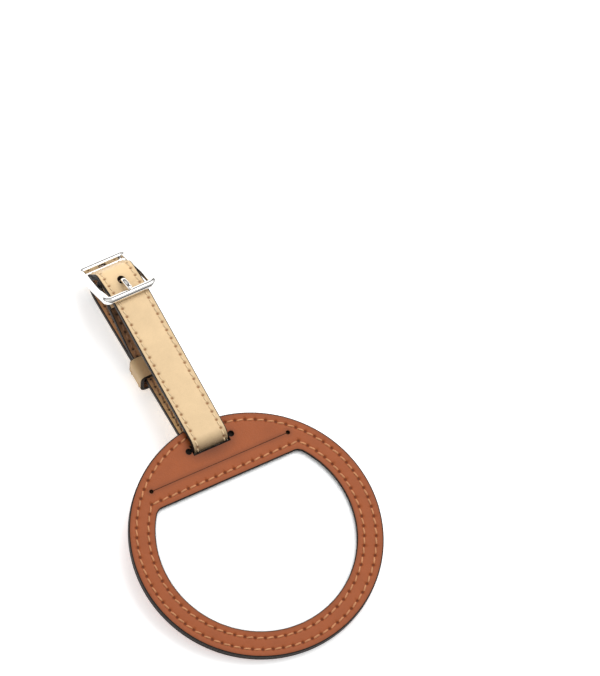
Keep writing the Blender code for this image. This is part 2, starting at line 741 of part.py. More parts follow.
ROOT = frame("tag_origin", (0.0, -MIDDLE_Y, 0.0))
TAG = frame("tag_frame", (0.0, 0.0, DISC_LIFT), DISC_TILT, ROOT)
CARD = frame("card_frame", (0.0, CARD_REST, 0.0), parent=TAG)
STRAP = frame("strap_axis", SLOT_AXIS, parent=ROOT)
BUCKLE = frame("buckle_axis", (0.0, BAR_Y, BAR_Z), BUCKLE_TILT, ROOT)
PRONG = frame("prong_axis", (0.0, BAR_Y, BAR_Z), BUCKLE_TILT, ROOT)
KEEPER_AT = (0.0, *outer_back_run(KEEPER_Y)[:2])
KEEPER = frame("keeper_frame", KEEPER_AT, BACK_RUN_NORMAL - math.pi / 2, ROOT)

build_card_holder()
build_strap()
build_buckle()
build_prong()
build_keeper()

for part in PARTS.objects:
    if part.type == "MESH":
        part.data.shade_smooth()
        part.data.set_sharp_from_angle(angle=math.radians(35))
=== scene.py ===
"""Looks of the round leather luggage tag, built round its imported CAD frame.

Metres. Every leather piece starts as a flat cut sheet with its seams pricked into it. The sheet is then
laid in place: the panels on the disc, the strap along its looped route, the keeper round the strap.
"""

import json
import random
from math import acos, asin, atan2, ceil, cos, degrees, dist, hypot, pi, radians, sin, sqrt, tan

import bmesh
import bpy
import numpy as np
from mathutils import Matrix, Vector, kdtree, noise
from mathutils.geometry import delaunay_2d_cdt


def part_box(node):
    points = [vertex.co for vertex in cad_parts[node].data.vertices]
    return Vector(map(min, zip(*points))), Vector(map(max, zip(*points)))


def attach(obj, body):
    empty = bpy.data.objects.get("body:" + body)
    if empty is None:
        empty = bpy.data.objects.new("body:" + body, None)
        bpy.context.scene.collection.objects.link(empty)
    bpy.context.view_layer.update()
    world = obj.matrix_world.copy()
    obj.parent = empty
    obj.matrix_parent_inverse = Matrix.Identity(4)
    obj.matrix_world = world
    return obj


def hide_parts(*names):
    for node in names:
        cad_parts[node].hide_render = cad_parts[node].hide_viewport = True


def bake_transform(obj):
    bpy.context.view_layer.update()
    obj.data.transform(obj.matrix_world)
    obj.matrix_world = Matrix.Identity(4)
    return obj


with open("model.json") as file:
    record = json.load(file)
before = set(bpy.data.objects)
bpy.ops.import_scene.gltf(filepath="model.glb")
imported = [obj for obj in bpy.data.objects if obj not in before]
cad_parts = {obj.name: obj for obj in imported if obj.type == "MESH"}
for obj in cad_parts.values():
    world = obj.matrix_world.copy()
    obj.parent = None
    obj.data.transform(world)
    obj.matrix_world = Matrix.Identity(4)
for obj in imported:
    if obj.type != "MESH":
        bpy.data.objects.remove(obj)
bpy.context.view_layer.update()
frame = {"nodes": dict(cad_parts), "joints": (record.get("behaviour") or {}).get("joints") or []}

MM = 0.001
GAP = 0.3 * MM

# ---- places read from the frame

JOINTS = {joint["name"]: joint for joint in frame["joints"]}


def box_in(node, matrix):
    """Lowest and highest corner of a CAD node, in another frame."""
    inverse = matrix.inverted()
    points = np.array([inverse @ vertex.co for vertex in frame["nodes"][node].data.vertices])
    return Vector(points.min(0)), Vector(points.max(0))


CARD_WAY = Vector(JOINTS["card_slide"]["axis"])
DISC_TILT = atan2(CARD_WAY.z, CARD_WAY.y)
TILTED = Matrix.Rotation(DISC_TILT, 4, "X")
PANEL_LOW, PANEL_HIGH = box_in("front_panel", TILTED)
DISC_RADIUS = (PANEL_HIGH.x - PANEL_LOW.x) / 2
TAG = TILTED @ Matrix.Translation((0.0, (PANEL_LOW.y + PANEL_HIGH.y) / 2, PANEL_HIGH.z))
CENTRE_Y = TAG.translation.y

PANEL_BOTTOM = box_in("front_panel", TAG)[0].z
BOARD_BOTTOM, BOARD_TOP = (corner.z for corner in box_in("core_frame", TAG))
BACK_BOTTOM, BACK_TOP = (corner.z for corner in box_in("back_panel", TAG))
FILM_BOTTOM, FILM_TOP = (corner.z for corner in box_in("window_film", TAG))
CARD_LOW, CARD_HIGH = box_in("id_card", TAG)

BAR = Vector(JOINTS["buckle_rock"]["pos_m"])
BAR_Y, BAR_Z = BAR.y - CENTRE_Y, BAR.z
KEEPER_WAY = Vector(JOINTS["keeper_slide"]["axis"])
BACK_RUN_NORMAL = atan2(-KEEPER_WAY.y, KEEPER_WAY.z) % (2 * pi)
KEEPER_LOW, KEEPER_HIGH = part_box("keeper_loop")
KEEPER_Y = (KEEPER_LOW.y + KEEPER_HIGH.y) / 2 - CENTRE_Y

# ---- sizes, as in the CAD

WINDOW_RADIUS = 35.5 * MM
WINDOW_CHORD = 22.2 * MM
WINDOW_CORNER = 1.0 * MM
POCKET_RADIUS = 40.4 * MM
POCKET_CHORD = 31.5 * MM
FILM_CHORD = 27.2 * MM
SLIT_Y = 29.1 * MM
SLIT_HALF = 26.9 * MM
SLIT_EYE_RADIUS = 0.75 * MM
SLOT_Y = 36.9 * MM
SLOT_LOW = 35.4 * MM
SLOT_HIGH = 38.6 * MM
SLOT_EYE_X = 8.3 * MM
SLOT_EYE_RADIUS = 1.05 * MM
RIM_SEAM_RADIUS = 42.3 * MM
WINDOW_SEAM_INSET = 2.6 * MM

STRAP_HALF_WIDTH = 6.85 * MM
FACE_THICKNESS = 1.0 * MM
STRAP_THICKNESS = 2.3 * MM
SEAM_INSET = 1.7 * MM
STACK_PITCH = STRAP_THICKNESS + GAP
FOLD_FROM_BAR = 2.2 * MM
FOLD_RADIUS = 6.6 * MM
FOLD_LIFT = 0.1 * MM
SLOT_BACK_RADIUS = 4.2 * MM
SLOT_FRONT_RADIUS = 4.0 * MM
SLOT_FRONT_Z = -0.75 * MM
DIP_FROM_BAR = 8.8 * MM
DIP_RADIUS = 12.0 * MM
TAB_WRAP_RADIUS = 2.2 * MM
TAB_LENGTH = 9.0 * MM
CLIMB_FROM_BAR = 26.3 * MM
CLIMB_RADIUS = 15.0 * MM
TAB_CLOSING = 1.4 * MM
LINING_FROM_BAR = 3.6 * MM
SEAM_FROM_BAR = 4.2 * MM
TIP_FROM_CENTRE = 66.8 * MM
HOLE_RADIUS = 1.35 * MM
HOLE_PITCH = 18.0 * MM
PRONG_HOLE_HALF_LENGTH = 1.75 * MM
PRONG_HOLE_FROM_BAR = 4.2 * MM
PRONG_SLOT_HALF = 1.3 * MM
PRONG_SLOT_CORNER = 0.9 * MM
PRONG_SLOT_PAST_WRAP = 3.9 * MM

BUCKLE_TILT = radians(-36.0)
BUCKLE_HALF_LENGTH = 14.2 * MM
BUCKLE_HALF_WIDTH = 10.5 * MM
BUCKLE_CORNER = 3.3 * MM
BUCKLE_RISE = 0.95 * MM
OPENING_HALF_LENGTH = 11.6 * MM
OPENING_HALF_WIDTH = 7.55 * MM
FRAME_HEIGHT = 2.4 * MM
FRAME_ROUNDING = 0.8 * MM
CENTRE_BAR_RADIUS = 0.9 * MM

KEEPER_HALF_LENGTH = 4.5 * MM
KEEPER_WALL = 1.4 * MM
KEEPER_HALF_WIDTH = 7.4 * MM
KEEPER_DOME = 0.8 * MM
KEEPER_CORNER = 0.6 * MM
KEEPER_SEAM = 2.8 * MM

# ---- sizes that only the looks have

SLIT_WIDTH = 0.14 * MM
SLIT_CLOSED = 0.05 * MM
SLOT_LIP = 34.85 * MM
SLOT_WAIST = 0.36 * MM
BOARD_SLOT_GAP = 0.08 * MM
BOARD_SLOT_LOW = SLOT_LOW + 0.16 * MM
BOARD_SLOT_CORNER = 0.42 * MM

DISC_ROUNDING = 0.42 * MM
WINDOW_ROUNDING = 0.36 * MM
BAND_ROUNDING = 0.34 * MM
HOLE_ROUNDING = 0.12 * MM
SLIT_ROUNDING = 0.04 * MM
ROUND_STEPS = (22.5, 45.0, 67.5, 90.0)
EDGE_STEP = 0.45 * MM
RIM_FADE = 0.9 * MM

RIM_PITCH = 3.65 * MM
STRAP_PITCH = 3.5 * MM
POINT_PITCH = 0.75 * STRAP_PITCH
KEEPER_PITCH = 2.6 * MM
THREAD_RADIUS = 0.30 * MM
STRAP_THREAD_RADIUS = 0.23 * MM
KEEPER_THREAD_RADIUS = 0.26 * MM
THREAD_SINK = 0.28 * MM
THREAD_ARCH = 0.32 * MM
STITCH_GAP = 0.62 * MM
NEEDLE_RADIUS = 0.52 * MM
NEEDLE_DEPTH = 0.42 * MM
GROOVE_WIDTH = 0.55 * MM
GROOVE_DEPTH = 0.08 * MM

LINING_EARLY = 0.8 * MM
LINING_TAPER = 1.4 * MM
CROWN_HEIGHT = 0.10 * MM
CROWN_SUNK = 0.04 * MM
KEEPER_JOINT = 0.04 * MM
KEEPER_SEAM_PAST_SIDE = 1.5 * MM
BAR_SHOULDER = 1.0 * MM
PRONG_ABOVE_FRAME = 0.8 * MM

# ---- routes: where a flat sheet is laid


def tag_point(y, z):
    """A point of the disc's frame, with Y from the disc's centre and Z from the ground."""
    point = TAG @ Vector((0.0, y, z))
    return point.y - CENTRE_Y, point.z


def buckle_point(y, z):
    """A point of the buckle's frame, with Y from the disc's centre and Z from the ground."""
    c, s = cos(BUCKLE_TILT), sin(BUCKLE_TILT)
    return BAR_Y + y * c - z * s, BAR_Z + y * s + z * c


def face_normal(a, b):
    """Direction of the outer face's normal on the straight run between two (y, z, radius) bends."""
    dy, dz = b[0] - a[0], b[1] - a[1]
    return atan2(dz, dy) + acos((a[2] - b[2]) / hypot(dy, dz))


def distances(points):
    """How far along the line each of its points is."""
    return np.concatenate(([0.0], np.cumsum(np.linalg.norm(np.diff(points, axis=0), axis=1))))


class Route:
    """A line in a plane that a sheet's length follows, running clockwise, with its outer normals."""

    def __init__(self, points, normals):
        self.points = np.array(points)
        self.normals = np.unwrap(np.array(normals))
        self.distance = distances(self.points)
        self.length = self.distance[-1]

    def lay(self, flat):
        """Flat (across, along, height) points as (across, plane Y, plane Z) points."""
        across, along, height = flat.T
        y, z, phi = (np.interp(along, self.distance, v) for v in (*self.points.T, self.normals))
        return np.stack((across, y + height * np.cos(phi), z + height * np.sin(phi)), axis=1)


def belt_route(bends, step):
    """The route round a list of bends, with the distances at which each bend starts and ends."""
    runs = [face_normal(a, b) for a, b in zip(bends, bends[1:])]
    points, normals, spans, distance = [], [], [], 0.0
    for i, (y, z, radius) in enumerate(bends):
        first, last = runs[max(i - 1, 0)], runs[min(i, len(runs) - 1)]
        turn = (first - last) % (2 * pi) if radius else 0.0
        steps = max(1, ceil(turn * radius / step)) if turn else 0
        curve = []
        for k in range(steps + 1):
            phi = first - turn * k / max(steps, 1)
            curve.append((y + radius * cos(phi), z + radius * sin(phi)))
            normals.append(phi)
        if points:
            distance += dist(points[-1], curve[0])
        start = distance
        distance += sum(dist(a, b) for a, b in zip(curve, curve[1:]))
        spans.append((start, distance))
        points += curve
    return Route(points, normals), spans


UNDERSIDE = buckle_point(-OPENING_HALF_LENGTH, BUCKLE_RISE - FRAME_HEIGHT / 2 + FRAME_ROUNDING / 2)
SLOT_FACE = SLOT_Y - STRAP_THICKNESS / 2
SLOT_BACK = (*tag_point(SLOT_FACE + SLOT_BACK_RADIUS, BACK_BOTTOM), SLOT_BACK_RADIUS)
SLOT_FRONT = (*tag_point(SLOT_FACE + SLOT_FRONT_RADIUS, SLOT_FRONT_Z), SLOT_FRONT_RADIUS)
DIP = (BAR_Y - DIP_FROM_BAR, UNDERSIDE[1] - GAP - DIP_RADIUS, DIP_RADIUS)
HUMP = (BAR_Y, BAR_Z, TAB_WRAP_RADIUS + STACK_PITCH)
FOLD = (BAR_Y + FOLD_FROM_BAR, FOLD_RADIUS + FOLD_LIFT, FOLD_RADIUS)
WRAP = (BAR_Y, BAR_Z, TAB_WRAP_RADIUS)


def outer_back_run(y):
    """The point of the outer back run's face at a given distance from the disc's centre."""
    run = (FOLD[0] - y) / -sin(BACK_RUN_NORMAL)
    c, s = cos(BACK_RUN_NORMAL), sin(BACK_RUN_NORMAL)
    return FOLD[0] + FOLD_RADIUS * c + run * s, FOLD[1] + FOLD_RADIUS * s - run * c


def climb_bend():
    """The bend that lifts the buckle end off the tongue, towards the centre bar."""
    y, z = outer_back_run(BAR_Y - CLIMB_FROM_BAR)
    inward = STACK_PITCH + CLIMB_RADIUS
    y -= inward * cos(BACK_RUN_NORMAL)
    return y, z - inward * sin(BACK_RUN_NORMAL), CLIMB_RADIUS


CLIMB = climb_bend()
TAB_NORMAL = face_normal(WRAP, CLIMB)
TAB_END = (
    BAR_Y + TAB_LENGTH * sin(TAB_NORMAL) - TAB_CLOSING * cos(TAB_NORMAL),
    BAR_Z - TAB_LENGTH * cos(TAB_NORMAL) - TAB_CLOSING * sin(TAB_NORMAL),
    0.0,
)
TIP = (*outer_back_run(TIP_FROM_CENTRE), 0.0)
STRAP_ROUTE, STRAP_SPANS = belt_route(
    [TAB_END, WRAP, CLIMB, SLOT_BACK, SLOT_FRONT, DIP, HUMP, FOLD, TIP], 0.25 * MM
)
_, WRAP_SPAN, _, SLOT_BACK_SPAN, SLOT_FRONT_SPAN, _, HUMP_SPAN, FOLD_SPAN, _ = STRAP_SPANS

# ---- outlines


def around(count):
    """Angles at even steps round a full turn."""
    return [2 * pi * k / count for k in range(count)]


def oval(half_x, half_y, count, y=0.0):
    return [(half_x * cos(a), y + half_y * sin(a)) for a in around(count)]


def circle(radius, step=0.5 * MM):
    return oval(radius, radius, ceil(2 * pi * radius / step))


def arc(centre, radius, first, last, steps):
    angles = [radians(first + (last - first) * k / steps) for k in range(steps + 1)]
    return [(centre[0] + radius * cos(a), centre[1] + radius * sin(a)) for a in angles]


def rounded(corners, step=12.0):
    """A closed outline of (x, y, radius) corners, each turned into an arc."""
    points = []
    for i, (x, y, radius) in enumerate(corners):
        here = Vector((x, y))
        if radius == 0:
            points.append((x, y))
            continue
        before = (Vector(corners[i - 1][:2]) - here).normalized()
        after = (Vector(corners[(i + 1) % len(corners)][:2]) - here).normalized()
        half = before.angle(after) / 2
        centre = here + (before + after).normalized() * (radius / sin(half))
        start = here + before * (radius / tan(half)) - centre
        turn = (pi - 2 * half) * (1 if before.cross(after) < 0 else -1)
        steps = max(2, ceil(abs(turn) / radians(step)))
        spokes = (Matrix.Rotation(turn * k / steps, 2) @ start for k in range(steps + 1))
        points += [tuple(centre + spoke) for spoke in spokes]
    return points


def oblong(half_x, low, high, corner, step=12.0):
    sides = ((-half_x, low), (half_x, low), (half_x, high), (-half_x, high))
    return rounded([(*side, corner) for side in sides], step)


def d_outline(radius, chord, corner, steps=160):
    """A circle with its top cut straight at y = chord, and small round corners where they meet."""
    rise = asin(chord / radius)
    margin = 1.5 * corner / radius
    sweep = pi + 2 * rise - 2 * margin
    turns = [pi - rise + margin + sweep * k / steps for k in range(steps + 1)]
    points = [(radius * cos(a), radius * sin(a)) for a in turns]
    half = radius * cos(rise)
    if corner:
        points += [(half - 0.4 * corner, chord - 0.25 * corner), (half - 1.3 * corner, chord)]
        points += [(1.3 * corner - half, chord), (0.4 * corner - half, chord - 0.25 * corner)]
    return points


def slot_outline():
    """The strap's slot, open where the strap passes, with a round punched eye at each end."""
    x = STRAP_HALF_WIDTH + GAP
    right = arc((SLOT_EYE_X, SLOT_Y), SLOT_EYE_RADIUS, -160, 160, 16)
    low, high = (x, SLOT_Y - SLOT_WAIST), (x, SLOT_Y + SLOT_WAIST)
    half = [(x, SLOT_LIP), low, *right, high, (x, SLOT_HIGH)]
    return half + [(-px, py) for px, py in reversed(half)]


def board_slot_outline():
    """The board is cut close round the strap, so no light comes through the slot in the leather."""
    x, low, corner = STRAP_HALF_WIDTH + BOARD_SLOT_GAP, BOARD_SLOT_LOW, BOARD_SLOT_CORNER
    return rounded([(x, low, corner), (x, SLOT_HIGH, 0.0), (-x, SLOT_HIGH, 0.0), (-x, low, corner)])


def slit_outline():
    """The card's slit: a fine cut between two punched dots, with lips that nearly touch."""
    half = SLIT_WIDTH / 2
    reach = degrees(asin(half / SLIT_EYE_RADIUS))
    right = arc((SLIT_HALF, SLIT_Y), SLIT_EYE_RADIUS, -180 + reach, 180 - reach, 14)
    right.append((SLIT_HALF / 2, SLIT_Y + SLIT_CLOSED / 2))
    return right + [(-px, 2 * SLIT_Y - py) for px, py in right]


def subdivided(loop, step):
    """The closed loop with its long edges cut into steps."""
    points = []
    for a, b in zip(loop, loop[1:] + loop[:1]):
        count = max(1, ceil(dist(a, b) / step))
        way = b[0] - a[0], b[1] - a[1]
        points += [(a[0] + way[0] * k / count, a[1] + way[1] * k / count) for k in range(count)]
    return points


def turned(loop, anticlockwise):
    """The loop in the asked direction, as an array."""
    points = np.array(loop)
    following = np.roll(points, -1, axis=0)
    area = np.sum(points[:, 0] * following[:, 1] - following[:, 0] * points[:, 1])
    return points if (area > 0) == anticlockwise else points[::-1]


def inward(loop):
    """The way from each point of a loop into the material on its left, longer at corners."""
    edge = np.roll(loop, -1, axis=0) - loop
    edge /= np.linalg.norm(edge, axis=1)[:, None]
    left = np.stack((-edge[:, 1], edge[:, 0]), axis=1)
    both = left + np.roll(left, 1, axis=0)
    both /= np.linalg.norm(both, axis=1)[:, None]
    return both / np.maximum(np.sum(both * left, axis=1), 0.5)[:, None]


def inside(points, loops):
    """Which points lie within the first loop and outside the others."""
    crossings = np.zeros(len(points), int)
    x, y = points[:, 0], points[:, 1]
    for loop in loops:
        for (ax, ay), (bx, by) in zip(loop, np.roll(loop, -1, axis=0)):
            if ay == by:
                continue
            across = (ay > y) != (by > y)
            crossings += across & (x < ax + (y - ay) * (bx - ax) / (by - ay))
    return crossings % 2 == 1


def nearest(points, targets):
    """Distance from each point to the nearest target."""
    tree = kdtree.KDTree(len(targets))
    for i, (x, y) in enumerate(targets):
        tree.insert((x, y, 0.0), i)
    tree.balance()
    return np.array([tree.find((x, y, 0.0))[2] for x, y in points])


# ---- seams


def pricked(line, pitch, closed=False):
    """Needle holes at an even pitch along a line, close to the asked one."""
    corners = np.array([*line, line[0]] if closed else line)
    distance = distances(corners)
    count = max(1, round(distance[-1] / pitch))
    places = np.linspace(0.0, distance[-1], count + 1)
    holes = list(zip(*(np.interp(places, distance, values) for values in corners.T)))
    return holes[:-1] + [holes[0]] if closed else holes


def stitch_spans(seams):
    """From each needle hole to the next: both holes, the way between them, and the way across it."""
    for holes in seams:
        for a, b in zip(holes, holes[1:]):
            a, b = np.array(a), np.array(b)
            way = (b - a) / np.linalg.norm(b - a)
            yield a, b, way, np.array((-way[1], way[0]))


def seam_points(seams, step=0.3 * MM, rows=(-0.62, -0.3, 0.0, 0.3, 0.62)):
    """Points along the seams and beside them, so that the sheet can dip there."""
    points = []
    for a, b, _, across in stitch_spans(seams):
        count = ceil(np.linalg.norm(b - a) / step)
        for k in range(count):
            here = a + (b - a) * (k + 0.5) / count
            points += [here + across * row * MM for row in rows]
    return np.array(points)


def needle_points(needles):
    """Each needle hole with two rings of points round it, so that the sheet can sink there."""
    hole = [(0.0, 0.0)]
    for radius, count, turn in ((0.24 * MM, 6, 0.0), (0.46 * MM, 9, 0.4)):
        hole += [(radius * cos(turn + a), radius * sin(turn + a)) for a in around(count)]
    return np.array([(x + dx, y + dy) for x, y in needles for dx, dy in hole])


def tube_faces(first, rings, sides, closed=False):
    """The faces of a tube of equal rings of points, which are numbered from the first one given."""
    faces = []
    for i in range(rings if closed else rings - 1):
        low, high = first + i * sides, first + (i + 1) % rings * sides
        for j in range(sides):
            k = (j + 1) % sides
            faces.append((low + j, low + k, high + k, high + j))
    if not closed:
        end = first + (rings - 1) * sides
        faces += [tuple(range(first, first + sides))[::-1], tuple(range(end, end + sides))]
    return faces


def stitches(name, seams, lay, look, body_slot, seed, level=None, side=1, radius=THREAD_RADIUS):
    """Twisted thread, one stitch from each needle hole to the next.

    side is 1 on the outer face and -1 on the inner one, whose level is a function of flat points.
    """
    rng = random.Random(seed)
    rings, sides = 11, 10
    flat, faces = [], []
    for a, b, way, across in stitch_spans(seams):
        a, b = a + way * STITCH_GAP, b - way * STITCH_GAP
        slant = rng.uniform(0.10, 0.20) * MM
        fat = rng.uniform(0.94, 1.06)
        turn = rng.uniform(0, 2 * pi)
        faces += tube_faces(len(flat), rings, sides)
        for i in range(rings):
            t = i / (rings - 1)
            swell = 1 - abs(2 * t - 1) ** 3
            centre = a + (b - a) * t + across * slant * (2 * t - 1)
            height = THREAD_ARCH * swell - THREAD_SINK
            for angle in around(sides):
                ply = 1 + 0.09 * cos(3 * (angle - 5.0 * t - turn))
                thick = radius * fat * (0.72 + 0.28 * swell) * ply
                point = centre + across * thick * cos(angle) * 1.1
                flat.append((*point, height + thick * sin(angle) * 0.9))
    flat = np.array(flat)
    flat[:, 2] = side * flat[:, 2] + (level(flat) if level else 0.0)
    if side > 0:
        faces = [face[::-1] for face in faces]
    return piece(name, lay(flat), faces, [look], body_slot, flat)


# ---- meshes


def added(name, data):
    """A new object in the scene."""
    obj = bpy.data.objects.new(name, data)
    bpy.context.scene.collection.objects.link(obj)
    return obj


def piece(name, points, faces, looks, slot, flat=None, face_looks=None, **marks):
    """A finished mesh with its materials, its flat coordinates and its marks for the shaders."""
    mesh = bpy.data.meshes.new(name)
    mesh.from_pydata([tuple(p) for p in points], [], faces)
    for look in looks:
        mesh.materials.append(look)
    if face_looks is not None:
        mesh.polygons.foreach_set("material_index", face_looks)
    if flat is None:
        flat = np.array(points)
    attribute = mesh.attributes.new("flat", "FLOAT_VECTOR", "POINT")
    attribute.data.foreach_set("vector", np.asarray(flat, np.float32).ravel())
    for label, values in marks.items():
        attribute = mesh.attributes.new(label, "FLOAT", "POINT")
        attribute.data.foreach_set("value", np.asarray(values, np.float32))
    mesh.update()
    mesh.shade_smooth()
    obj = added(name, mesh)
    return obj


def moved(points, matrix):
    turn = np.array(matrix)
    return points @ turn[:3, :3].T + turn[:3, 3]


def on_disc(level):
    """Lays a flat sheet on the disc, raised by the level."""
    return lambda flat: moved(flat + np.array((0.0, 0.0, level)), TAG)


def on_strap(flat):
    """Lays a flat sheet along the strap's route."""
    laid = STRAP_ROUTE.lay(flat)
    laid[:, 1] += CENTRE_Y
    return laid


def inner_points(outline, step, seams):
    """Points for the inside of a sheet: a grid that is denser along the seams and needle holes."""
    low, high = outline.min(0), outline.max(0)
    columns = np.arange(low[0] + step / 2, high[0], step)
    rows = np.arange(low[1] + step / 2, high[1], step * 0.87)
    grid = np.array([(x + (i % 2) * step / 2, y) for i, y in enumerate(rows) for x in columns])
    if seams:
        beside = seam_points(seams)
        pricks = needle_points([hole for row in seams for hole in row])
        grid = grid[nearest(grid, beside) > 0.45 * step]
        beside = beside[nearest(beside, pricks) > 0.17 * MM]
        grid = np.concatenate((grid, beside, pricks))
    return grid


def triangulated(loops, inner):
    """The points and triangles between the loops, and the place each given point went to."""
    flat = np.concatenate((*loops, inner))
    edges, start = [], 0
    for loop in loops:
        count = len(loop)
        edges += [(start + k, start + (k + 1) % count) for k in range(count)]
        start += count
    filled = delaunay_2d_cdt([Vector(p) for p in flat], edges, [], 0, 1e-9)
    place = {source: k for k, sources in enumerate(filled[3]) for source in sources}
    flat = np.array([tuple(p) for p in filled[0]])
    triangles = np.array(filled[2])
    return flat, triangles[inside(flat[triangles].mean(axis=1), loops)], place


def pressed(flat, seams):
    """How much of a needle hole each point is, from 0 to 1, and how deep the seams press it."""
    if not seams:
        return np.zeros((2, len(flat)))
    needles = [hole for row in seams for hole in row]
    groove = np.exp(-((nearest(flat, seam_points(seams, 0.12 * MM, (0.0,))) / GROOVE_WIDTH) ** 2))
    pit = np.exp(-((nearest(flat, needles) / NEEDLE_RADIUS) ** 4))
    return pit, GROOVE_DEPTH * groove + NEEDLE_DEPTH * pit


def sheet(
    name, outline, holes, lay, looks, slot, thickness, rounding, hole_rounding=HOLE_ROUNDING,
    step=0.8 * MM, seams=(), inner_seams=True, relief=None,
):
    """A cut sheet with rounded, painted edges. Its seams dip, and their needle holes are pits.

    looks are the materials of the face, the edge and the back. thickness is a length, or a function of
    flat points. hole_rounding is one length, or a list with one for each hole. relief is a function of
    flat points that lifts the face.
    """
    loops = [turned(subdivided(outline, EDGE_STEP), True)]
    loops += [turned(subdivided(hole, EDGE_STEP), False) for hole in holes]
    if not isinstance(hole_rounding, list):
        hole_rounding = [hole_rounding] * len(holes)
    rounds = [rounding, *hole_rounding]
    ways = [inward(loop) for loop in loops]
    insets = [loop + way * r for loop, way, r in zip(loops, ways, rounds)]
    grid = inner_points(loops[0], step, seams)
    grid = grid[inside(grid, insets)]
    inner = grid[nearest(grid, np.concatenate(insets)) > 0.4 * EDGE_STEP]
    flat, triangles, place = triangulated(insets, inner)

    count = len(flat)
    edge_distance = nearest(flat, np.concatenate(loops))
    pit, dip = pressed(flat, seams)
    deep = thickness(flat) if callable(thickness) else np.full(count, thickness)
    top = (relief(flat) if relief else 0.0) - dip
    bottom = -deep + (dip if inner_seams else 0.0)

    points = [np.column_stack((flat, top)), np.column_stack((flat, bottom))]
    faces = [tuple(t) for t in triangles] + [tuple(count + t[::-1]) for t in triangles]
    face_looks = [0] * len(triangles) + [2] * len(triangles)
    base, start = 2 * count, 0
    for loop, way, r in zip(loops, ways, rounds):
        size = len(loop)
        inset_ids = np.array([place[start + k] for k in range(size)])
        start += size
        upper, lower = top[inset_ids], bottom[inset_ids]
        rings = [inset_ids]
        levels = [(radians(a), upper, 1) for a in ROUND_STEPS]
        levels += [(radians(a), lower, -1) for a in reversed(ROUND_STEPS)]
        for angle, level, sign in levels:
            ring = loop + way * (r * (1 - sin(angle)))
            points.append(np.column_stack((ring, level - sign * r * (1 - cos(angle)))))
            rings.append(np.arange(base, base + size))
            base += size
        rings.append(count + inset_ids)
        for ring, following in zip(rings, rings[1:]):
            ahead, following_ahead = np.roll(ring, -1), np.roll(following, -1)
            faces += list(zip(ring, following, following_ahead, ahead))
            face_looks += [1] * size
    faces = [tuple(int(i) for i in face) for face in faces]
    flat = np.concatenate(points)
    at_edge = np.zeros(len(flat) - 2 * count)
    pit = np.concatenate((pit, pit if inner_seams else 0 * pit, at_edge))
    rim = np.exp(-((np.concatenate((edge_distance, edge_distance, at_edge)) / RIM_FADE) ** 2))
    return piece(name, lay(flat), faces, looks, slot, flat, face_looks, pit=pit, rim=rim)


def sweep(name, sections, look, slot, closed=False):
    """A skin over a list of rings of points, with its ends capped unless it closes on itself."""
    points = [p for ring in sections for p in ring]
    faces = tube_faces(0, len(sections), len(sections[0]), closed)
    obj = piece(name, points, faces, [look], slot)
    bm = bmesh.new()
    bm.from_mesh(obj.data)
    bmesh.ops.recalc_face_normals(bm, faces=bm.faces)
    bm.to_mesh(obj.data)
    bm.free()
    return obj


# ---- materials


class Look:
    """A node material under construction. Its place is in millimetres on the flat sheet."""

    def __init__(self, name):
        self.material = bpy.data.materials.new(name)
        self.material.use_nodes = True
        self.tree = self.material.node_tree
        self.shader = self.tree.nodes["Principled BSDF"]
        at = self.node("Attribute", {"attribute_name": "flat"})["Vector"]
        self.place = self.node("VectorMath", {"operation": "SCALE"}, Vector=at, Scale=1 / MM)["Vector"]

    def node(self, kind, settings=None, **inputs):
        made = self.tree.nodes.new("ShaderNode" + kind)
        for name, value in (settings or {}).items():
            setattr(made, name, value)
        for name, value in inputs.items():
            self.put(made.inputs[name.replace("_", " ")], value)
        return made.outputs

    def put(self, socket, value):
        if isinstance(value, bpy.types.NodeSocket):
            self.tree.links.new(value, socket)
        else:
            socket.default_value = value

    def set(self, **inputs):
        for name, value in inputs.items():
            self.put(self.shader.inputs[name.replace("_", " ")], value)

    def mark(self, name):
        return self.node("Attribute", {"attribute_name": name})["Fac"]

    def noise(self, scale, detail=3.0, roughness=0.55, stretch=None):
        vector = self.place
        if stretch:
            vector = self.node("Mapping", Vector=vector, Scale=stretch)["Vector"]
        return self.node("TexNoise", Vector=vector, Scale=scale, Detail=detail, Roughness=roughness)["Fac"]

    def fed(self, kind, values):
        """A node with its first inputs given in order."""
        made = self.tree.nodes.new("ShaderNode" + kind)
        for socket, value in zip(made.inputs, values):
            self.put(socket, value)
        return made

    def maths(self, operation, a, b):
        made = self.fed("Math", (a, b))
        made.operation = operation
        return made.outputs["Value"]

    def between(self, value, low, high, to_low, to_high):
        return self.fed("MapRange", (value, low, high, to_low, to_high)).outputs["Result"]

    def mix(self, share, a, b, blend="MIX"):
        made = self.tree.nodes.new("ShaderNodeMix")
        made.data_type = "RGBA"
        made.blend_type = blend
        self.put(made.inputs[0], share)
        for socket, value in ((made.inputs[6], a), (made.inputs[7], b)):
            self.put(socket, (*value, 1.0) if isinstance(value, tuple) else value)
        return made.outputs[2]

    def clouded(self, cloud, colour, dark, light):
        """A colour that wanders between a dark and a light shade of itself."""
        share = self.between(cloud, 0.3, 0.7, 0.0, 1.0)
        return self.mix(share, shade(colour, dark), shade(colour, light))

    def bump(self, height, strength, distance):
        made = self.node("Bump", Height=height, Strength=strength, Distance=distance * MM)
        self.set(Normal=made["Normal"])


def shade(colour, factor):
    return tuple(min(1.0, c * factor) for c in colour)


